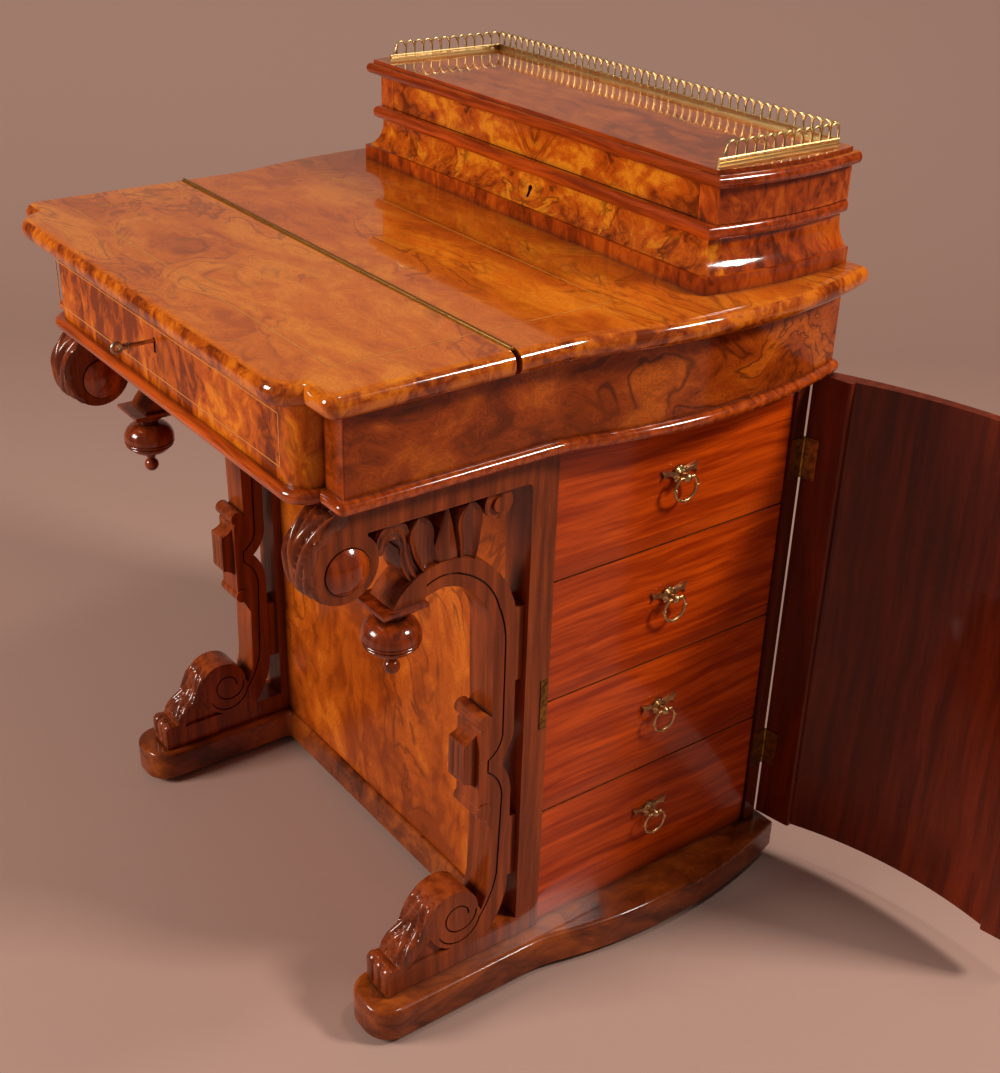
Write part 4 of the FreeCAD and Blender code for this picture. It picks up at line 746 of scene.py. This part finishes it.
bracket_walnut = polished_wood(
    "bracket_walnut", plain((160, 70, 25), (106, 42, 13), fineness=2.0, ribbon=0.35, turn=(0, 90, 0)),
    rough=0.28, coat=0.35, coat_rough=0.12, reach=0.004)
carved_walnut = polished_wood(
    "carved_walnut", plain((146, 63, 25), (92, 35, 12), fineness=2.4, ribbon=0.2, turn=(0, 90, 0)),
    rough=0.26, coat=0.7, coat_rough=0.14, reach=0.006)
turned_walnut = polished_wood(
    "turned_walnut", plain((150, 57, 15), (88, 30, 9), fineness=2.4, ribbon=0.3, turn=(0, 90, 0)),
    rough=0.2, coat=0.8, coat_rough=0.12)
for node in ("right_bracket", "left_bracket"):
    finish(node, bracket_walnut, BRACKET_ARRIS)
right_carving = bands + curl + [front_leaf, spear, rear_leaf]
piece_of("right_bracket_carving", right_carving, carved_walnut, "carcase")
piece_of("left_bracket_carving", mirrored(right_carving), carved_walnut, "carcase")
boss_walnut = polished_wood(
    "boss_walnut", plain((196, 80, 20), (124, 44, 11), fineness=2.0, ribbon=0.3, turn=(0, 90, 0)),
    rough=0.2, coat=0.9, coat_rough=0.10, reach=0.006)
finish("bracket_bosses", boss_walnut)
finish("pendants", turned_walnut)

PENDANT_AT = high(-169.2, 84.0)
EQUATOR_DROP = 0.036
BEADS = [(0.0264, 0.0042), (0.0253, 0.0078)]
BEAD_SECTION = [(-0.0008, 0.0016), (0.0009, 0.0010), (0.0014, 0.0), (0.0009, -0.0010), (-0.0008, -0.0016)]


def spun(profile, centre, axis, lobes=0, depth=0.0, count=24):
    """Turned form from radius and height pairs; lobes scallop it round its axis."""
    axis = Vector(axis).normalized()
    side = axis.orthogonal().normalized()
    across = axis.cross(side)
    rows = []
    for radius, height in profile:
        level_at = Vector(centre) + axis * height
        row = []
        for k in range(count):
            turn = math.tau * k / count
            r = radius * (1 + depth * math.cos(lobes * turn))
            row.append(tuple(level_at + side * r * math.cos(turn) + across * r * math.sin(turn)))
        rows.append(row)
    return grid(rows, ring=True)


beads = []
for radius, drop in BEADS:
    section = [(radius + proud, height) for proud, height in BEAD_SECTION]
    middle = ((FACE_IN + FACE_OUT) / 2, PENDANT_AT[0], PENDANT_AT[1] - EQUATOR_DROP - drop)
    beads.append(spun(section, middle, (0, 0, 1), count=48))
piece_of("pendant_beads", beads + mirrored(beads), turned_walnut, "carcase")


# Writing well: burr-veneered aprons over a half-round walnut lip, with a mahogany floor inside.
# The front is one sheet with rounded lobes at its ends and a boxwood string let in as a panel.
STRING_W = 0.0011
STRING_RISE = 0.00015
FINE_ARRIS = 0.0004
BAR_FACES = [(3, 2, 1, 0), (4, 5, 6, 7), (0, 1, 5, 4), (1, 2, 6, 5), (2, 3, 7, 6), (3, 0, 4, 7)]


def bar(start, end, normal, width, rise, sink=0.0005):
    """Straight strip let into a surface: its faces stand a little proud along the normal."""
    a, b, out = Vector(start), Vector(end), Vector(normal)
    side = out.cross(b - a).normalized() * width / 2
    corners = []
    for p in (a, b):
        corners += [p - side - out * sink, p + side - out * sink,
                    p + side + out * rise, p - side + out * rise]
    return [tuple(c) for c in corners], BAR_FACES


def string_panel(corners, normal, closed=True):
    """Boxwood string from corner to corner, and back to the first one if closed."""
    ends = corners[1:] + corners[:1] if closed else corners[1:]
    return [bar(a, b, normal, STRING_W, STRING_RISE) for a, b in zip(corners, ends)]


lip_walnut = polished_wood(
    "lip_walnut", plain((202, 86, 20), (132, 47, 10), fineness=2.8, ribbon=0.25),
    rough=0.14, coat=1.0, coat_rough=0.05)
front_burr = polished_wood(
    "front_burr",
    burr((228, 126, 20), (190, 84, 11), (122, 45, 6), (72, 25, 4), swirl=15.0, lines=0.5, mottle=0.9,
         eyes=0.5, scale=(1.0, 1.0, 0.6), shift=(0.62, 0.1, 0.3)),
    rough=0.2, coat=0.12)
apron_burr = polished_wood(
    "apron_burr",
    burr((206, 98, 21), (164, 66, 13), (112, 42, 8), (66, 23, 6), swirl=11.0, lines=0.75, mottle=0.45,
         scale=(1.0, 0.8, 1.3), shift=(0.0, 0.35, 0.1)),
    rough=0.2, coat=0.35)
boxwood = polished_wood("boxwood", plain((214, 146, 66), (190, 118, 48), fineness=2.0), rough=0.25)
key_steel = metal("key_steel", (206, 184, 156), (120, 96, 70), 0.5)
finish("lip_moulding", lip_walnut)
finish("well_floor", board_mahogany)
finish("front_apron", front_burr)
finish("side_aprons", apron_burr, BOARD_ARRIS)
finish("rear_apron", frame_mahogany, FRAME_ARRIS)
finish("lock_cases", old_brass, FINE_ARRIS)
finish("lock_bolt", old_brass, FINE_ARRIS)
finish("key", key_steel)

apron_low, apron_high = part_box("front_apron")
FRONT_Y = apron_low[1]
IN_LEFT, IN_RIGHT = 0.012, 0.031
IN_BELOW, IN_ABOVE = 0.012, 0.022
panel_x0, panel_x1 = apron_low[0] + IN_LEFT, apron_high[0] - IN_RIGHT
panel_z0, panel_z1 = apron_low[2] + IN_BELOW, apron_high[2] - IN_ABOVE
front_corners = [(panel_x0, FRONT_Y, panel_z0), (panel_x1, FRONT_Y, panel_z0),
                 (panel_x1, FRONT_Y, panel_z1), (panel_x0, FRONT_Y, panel_z1)]
piece_of("front_string", string_panel(front_corners, (0, -1, 0)), boxwood, "carcase")


# Top: two boards veneered in golden burr and joined by a brass strip hinge let into their edges.
# A boxwood string frames the writing space across both, and the whole top is polished to a mirror.
TOP_EDGE = burr((218, 114, 20), (180, 80, 13), (122, 46, 8), (76, 26, 5), swirl=22.0, lines=0.2,
                mottle=0.9, eyes=0.2)
top_burr = polished_wood(
    "top_burr",
    burr((222, 124, 28), (204, 100, 19), (176, 78, 16), (112, 47, 13), swirl=13.0, lines=0.65, mottle=0.5,
         eyes=0.55, scale=(0.6, 1.2, 1.0), shift=(0.6, 0.1, 0.0)),
    TOP_EDGE, rough=0.14, coat=1.0, coat_rough=0.04)
lid_burr = polished_wood(
    "lid_burr",
    burr((226, 128, 31), (208, 104, 20), (180, 81, 17), (116, 50, 14), swirl=13.0, lines=0.65, mottle=0.5,
         eyes=0.55, scale=(0.6, 1.2, 1.0), shift=(0.1, 0.55, 0.2)),
    TOP_EDGE, rough=0.14, coat=1.0, coat_rough=0.04)
hinge_brass = metal("hinge_brass", (214, 162, 86), (132, 88, 42), 0.5)
finish("fixed_top", top_burr)
finish("writing_lid", lid_burr)
finish("strip_hinge_fixed_leaf", hinge_brass)
finish("strip_hinge_lid_leaf", hinge_brass)

STRING_X = 0.256
STRING_FRONT, STRING_BACK = -0.260, 0.030
lid_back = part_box("writing_lid")[1][1]
top_low, top_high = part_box("fixed_top")
TOP_Z = top_high[2]


def frame_half(hinge_side, far_side):
    """Corners of the string on one board, from the hinge along one end, across and back along the other."""
    return [(-STRING_X, hinge_side, TOP_Z), (-STRING_X, far_side, TOP_Z),
            (STRING_X, far_side, TOP_Z), (STRING_X, hinge_side, TOP_Z)]


lid_corners = frame_half(lid_back, STRING_FRONT)
top_corners = frame_half(top_low[1], STRING_BACK)
piece_of("lid_string", string_panel(lid_corners, (0, 0, 1), False), boxwood, "lid")
piece_of("top_string", string_panel(top_corners, (0, 0, 1), False), boxwood, "carcase")


# Stationery box: burr over a hollow-moulded lower stage, with a plain walnut moulding between two stages.
# The sheets of the front are book-matched about the keyhole. The lid lifts with the frieze strip below it.
BOX_KEYHOLE_X = 0.010
box_burr = polished_wood(
    "box_burr",
    burr((230, 136, 26), (192, 84, 13), (112, 40, 6), (64, 21, 4), swirl=17.0, lines=0.75, mottle=0.7,
         eyes=0.5, fold=BOX_KEYHOLE_X, scale=(0.8, 1.0, 0.8), shift=(0.3, 0.2, 0.4)),
    rough=0.18, coat=0.5)
base_burr = polished_wood(
    "base_burr",
    burr((184, 78, 13), (150, 55, 10), (108, 36, 7), swirl=20.0, lines=0.3, mottle=0.8, eyes=0.1,
         scale=(1.2, 1.0, 0.5)),
    rough=0.18)
end_burr = polished_wood(
    "end_burr",
    burr((200, 90, 18), (166, 62, 12), (104, 36, 7), swirl=18.0, lines=0.4, mottle=1.0,
         scale=(1.0, 1.0, 0.7)),
    rough=0.14, coat=1.0, coat_rough=0.05)
moulding_walnut = polished_wood(
    "moulding_walnut", plain((194, 77, 16), (124, 42, 8), fineness=3.2, ribbon=0.3), rough=0.16, coat=1.0)
box_lid_burr = polished_wood(
    "box_lid_burr",
    burr((196, 98, 24), (168, 74, 16), (122, 46, 10), swirl=12.0, lines=0.4, mottle=0.9,
         scale=(0.6, 1.0, 1.0), shift=(0.9, 0.4, 0.2)),
    plain((180, 70, 16), (112, 37, 8), fineness=3.2, ribbon=0.3), rough=0.14, coat=1.0, coat_rough=0.04)
finish("box_base", base_burr, BOARD_ARRIS)
finish("box_front", box_burr)
finish("box_ends", end_burr)
finish("box_frieze", box_burr, FINE_ARRIS)
finish("box_rail", moulding_walnut)
finish("box_top", box_lid_burr)
finish("box_back", frame_mahogany)
finish("letter_rack", board_mahogany, FRAME_ARRIS)
finish("box_hinge_fixed_leaves", hinge_brass)
finish("box_hinge_lid_leaves", hinge_brass)


# Gallery: a pierced brass rail cast in three runs, round wires bent into arches over a beaded base strip.
# It is pinned to the box top along the back and both ends, and its front ends drop in a small curve.
ARCH_PITCH = 0.0112
WIRE_R = 0.0012
POINT_R = 1.12
POINT_RISE = math.sqrt(POINT_R ** 2 - (POINT_R - 1) ** 2)
STRIP_T = 0.0018
STRIP_H = 0.006
STRIP_FRONT = 0.009
STRIP_FOOT, STRIP_BEAD = 0.0012, 0.0005
FRONT_DROP = [(0.0, 0.0155), (-0.0035, 0.0075), (-0.008, 0.004)]
gallery_low, gallery_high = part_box("gallery")
gallery_brass = metal("gallery_brass", (232, 204, 140), (176, 138, 78), 0.5)


def arches(start, end):
    """Wire arches side by side between two places on the base strip: one open line each."""
    run = (Vector(end) - Vector(start)).length
    count = int(run / ARCH_PITCH)
    along = (Vector(end) - Vector(start)) / count
    radius = run / count / 2
    crown = gallery_high[2] - WIRE_R
    lines = []
    for k in range(count):
        left = Vector(start) + along * k
        middle = left + along / 2
        line = [Vector((left.x, left.y, gallery_low[2] + STRIP_H / 2))]
        for step in range(-6, 7):
            across = step / 6
            p = middle + along / 2 * across
            rise = math.sqrt(POINT_R ** 2 - (abs(across) + POINT_R - 1) ** 2)
            line.append(Vector((p.x, p.y, crown + radius * (rise - POINT_RISE))))
        line.append(Vector((left.x + along.x, left.y + along.y, gallery_low[2] + STRIP_H / 2)))
        lines.append(line)
    return lines


def wire_piece(name, lines, radius, mat, body):
    """Round wires bent along lines of points."""
    curve = bpy.data.curves.new(name, "CURVE")
    curve.dimensions = "3D"
    curve.bevel_depth = radius
    curve.bevel_resolution = 2
    curve.use_fill_caps = True
    for line in lines:
        bend = curve.splines.new("POLY")
        bend.points.add(len(line) - 1)
        for point, p in zip(bend.points, line):
            point.co = (*p, 1.0)
    curve.materials.append(mat)
    made = bpy.data.objects.new(name, curve)
    scene.collection.objects.link(made)
    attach(made, body)
    return made


rail_x = gallery_high[0] - STRIP_T / 2
rail_back = gallery_high[1] - STRIP_T / 2
rail_front = gallery_low[1]
rail_z = gallery_low[2]
wires = arches((-rail_x, rail_back, 0.0), (rail_x, rail_back, 0.0))
for side in (-1, 1):
    wires += arches((side * rail_x, rail_front, 0.0), (side * rail_x, rail_back, 0.0))
    drop = arc_through(*((rail_front + y, rail_z + z) for y, z in FRONT_DROP))
    wires.append([Vector((side * rail_x, y, z)) for y, z in drop])
gallery_arches = wire_piece("gallery_arches", wires, WIRE_R, gallery_brass, "box_lid")
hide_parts("gallery")

half = STRIP_T / 2
strip_section = [
    (-half, 0.0), (half + STRIP_FOOT, 0.0), (half + STRIP_FOOT, STRIP_FOOT), (half, 0.0020), (half, 0.0044),
    (half + STRIP_BEAD, 0.0052), (half, STRIP_H), (-half, STRIP_H), (-half - STRIP_BEAD, 0.0052),
    (-half, 0.0044)]
strip_front = rail_front - STRIP_FRONT
strip_corners = [(rail_x, strip_front, -1, 0), (rail_x, rail_back, -1, -1),
                 (-rail_x, rail_back, 1, -1), (-rail_x, strip_front, 1, 0)]
strip_rings = []
for x, y, ox, oy in strip_corners:
    strip_rings.append([(x - ox * d, y - oy * d, rail_z + h) for d, h in strip_section])
piece_of("gallery_strip", [capped(strip_rings)], gallery_brass, "box_lid")


# Drawers: mahogany fronts with the grain across over plain boxes, each with a cast brass ring pull.
# The pull's plate has a lobed rosette round its ball, and the ring carries three little buds.
RING_R = 0.014
PLATE_T = 0.0025
ROSETTE_SINK = 0.0004
BUD = [(0.0002, -0.0024), (0.0017, -0.0018), (0.0024, 0.0), (0.0017, 0.0014), (0.0008, 0.0020),
       (0.0009, 0.0026), (0.0002, 0.0032)]
ROSETTE = [(0.0088, 0.0), (0.0090, 0.0008), (0.0078, 0.0018), (0.0062, 0.0016), (0.0050, 0.0026),
           (0.0036, 0.0030)]
drawer_mahogany = polished_wood(
    "drawer_mahogany", plain((224, 86, 11), (156, 46, 5), fineness=2.6, ribbon=0.4, turn=(0, 0, 90)),
    plain((182, 96, 40), (134, 64, 24), fineness=2.2), facing=(1, 0, 0),
    rough=0.24, coat=0.35, coat_rough=0.08)
pull_brass = metal("pull_brass", (226, 186, 130), (140, 98, 58), 0.5)


def joint_named(name):
    """That joint in the part's record."""
    return next(joint for joint in frame["record"]["behaviour"]["joints"] if joint["name"] == name)


for number in range(1, 5):
    ring_low, ring_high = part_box("pull_ring_%d" % number)
    plate_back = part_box("pull_plate_%d" % number)[0][0]
    ring_y = (ring_low[1] + ring_high[1]) / 2
    ring_x = (ring_low[0] + ring_high[0]) / 2
    wire_r = (ring_high[1] - ring_low[1]) / 2 - RING_R
    ring_z = ring_low[2] + wire_r + RING_R
    buds = [spun(BUD, (ring_x, ring_y + y * RING_R, ring_z + z * RING_R), (0, y, z))
            for y, z in ((-1, 0), (1, 0), (0, -1))]
    piece_of("ring_buds_%d" % number, buds, pull_brass, "ring_%d" % number)
    pivot = joint_named("ring_%d_swing" % number)["pos_m"]
    rosette_at = (plate_back + PLATE_T - ROSETTE_SINK, pivot[1], pivot[2])
    rosette = spun(ROSETTE, rosette_at, (1, 0, 0), lobes=8, depth=0.07, count=48)
    piece_of("pull_rosette_%d" % number, [rosette], pull_brass, "drawer_%d" % number)
    finish("drawer_%d" % number, drawer_mahogany, BOARD_ARRIS)
    finish("pull_plate_%d" % number, pull_brass, FINE_ARRIS)
    finish("pull_ring_%d" % number, pull_brass)


# Door: a bowed board veneered in burr outside and red mahogany inside, with two straight stiles.
# It hangs on a pair of brass butts, each leaf let in and held by three slotted screws.
door_joint = joint_named("door_swing")
AXIS_X, AXIS_Y = door_joint["pos_m"][:2]
DOOR_OPEN = -math.radians(door_joint["range_deg"][0])
SCREW_R = 0.0022
SCREW_BACK = 0.0097
SCREW_STEP = 0.0155
SLOT_HALF = 0.0003
HEAD_SINK, HEAD_PROUD = 0.0006, 0.00022
LEAF_T = 0.0009
BUTT_H = 0.046
LOCK_ARRIS = 0.0003
post_low, post_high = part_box("post_butt_leaves")
butt_middles = [post_low[2] + BUTT_H / 2, post_high[2] - BUTT_H / 2]


def swung(p):
    """Place on the shut door carried round to where the open door stands."""
    x, y = p[0] - AXIS_X, p[1] - AXIS_Y
    c, s = math.cos(DOOR_OPEN), math.sin(DOOR_OPEN)
    return AXIS_X + x * c - y * s, AXIS_Y + x * s + y * c, p[2]


def screw_head(x, y, z, out):
    """Flat head in two halves with the slot between them, facing along X."""
    parts = []
    for side in (-1, 1):
        rim = [math.pi * (k / 10) for k in range(11)]
        flat = [(SCREW_R * math.cos(a), side * (SLOT_HALF + (SCREW_R - SLOT_HALF) * math.sin(a)))
                for a in rim]
        rings = [[(x + out * h, y + p, z + q) for p, q in flat] for h in (-HEAD_SINK, HEAD_PROUD)]
        parts.append(capped(rings))
    return parts


post_screws, door_screws = [], []
for middle in butt_middles:
    for step in (-1, 0, 1):
        z = middle + step * SCREW_STEP
        post_screws += screw_head(post_low[0] + LEAF_T, AXIS_Y - SCREW_BACK, z, 1)
        for places, faces in screw_head(2 * AXIS_X - post_low[0] - LEAF_T, AXIS_Y - SCREW_BACK, z, -1):
            door_screws.append(([swung(p) for p in places], faces))

outward = (math.cos(DOOR_OPEN), math.sin(DOOR_OPEN), 0.0)
DOOR_INSIDE = plain((126, 41, 12), (86, 25, 7), fineness=1.8, ribbon=0.4, turn=(0, 90, 0))
door_wood = polished_wood(
    "door_wood",
    burr((184, 86, 22), (148, 58, 14), (92, 34, 9), swirl=14.0, lines=0.6, mottle=0.8, turn=(20, 0, 0),
         scale=(1.0, 0.8, 1.2), shift=(0.5, 0.1, 0.3)),
    DOOR_INSIDE, outward, rough=0.28, coat=0.25)
door_mahogany = polished_wood("door_mahogany", DOOR_INSIDE, rough=0.28, coat=0.25)
# The butts, lock and keep take a darker brass than the other fittings: painted shade for the shade they sit
# in beside the post.
butt_brass = metal("butt_brass", (156, 114, 54), (74, 49, 24), 0.75)
finish("door_board", door_wood)
finish("door_stiles", door_mahogany, BOARD_ARRIS)
finish("door_butt_leaves", butt_brass)
finish("post_butt_leaves", butt_brass)
finish("door_lock", butt_brass, LOCK_ARRIS)
finish("door_keep", butt_brass, LOCK_ARRIS)
piece_of("post_screws", post_screws, pull_brass, "carcase")
piece_of("door_screws", door_screws, pull_brass, "door")
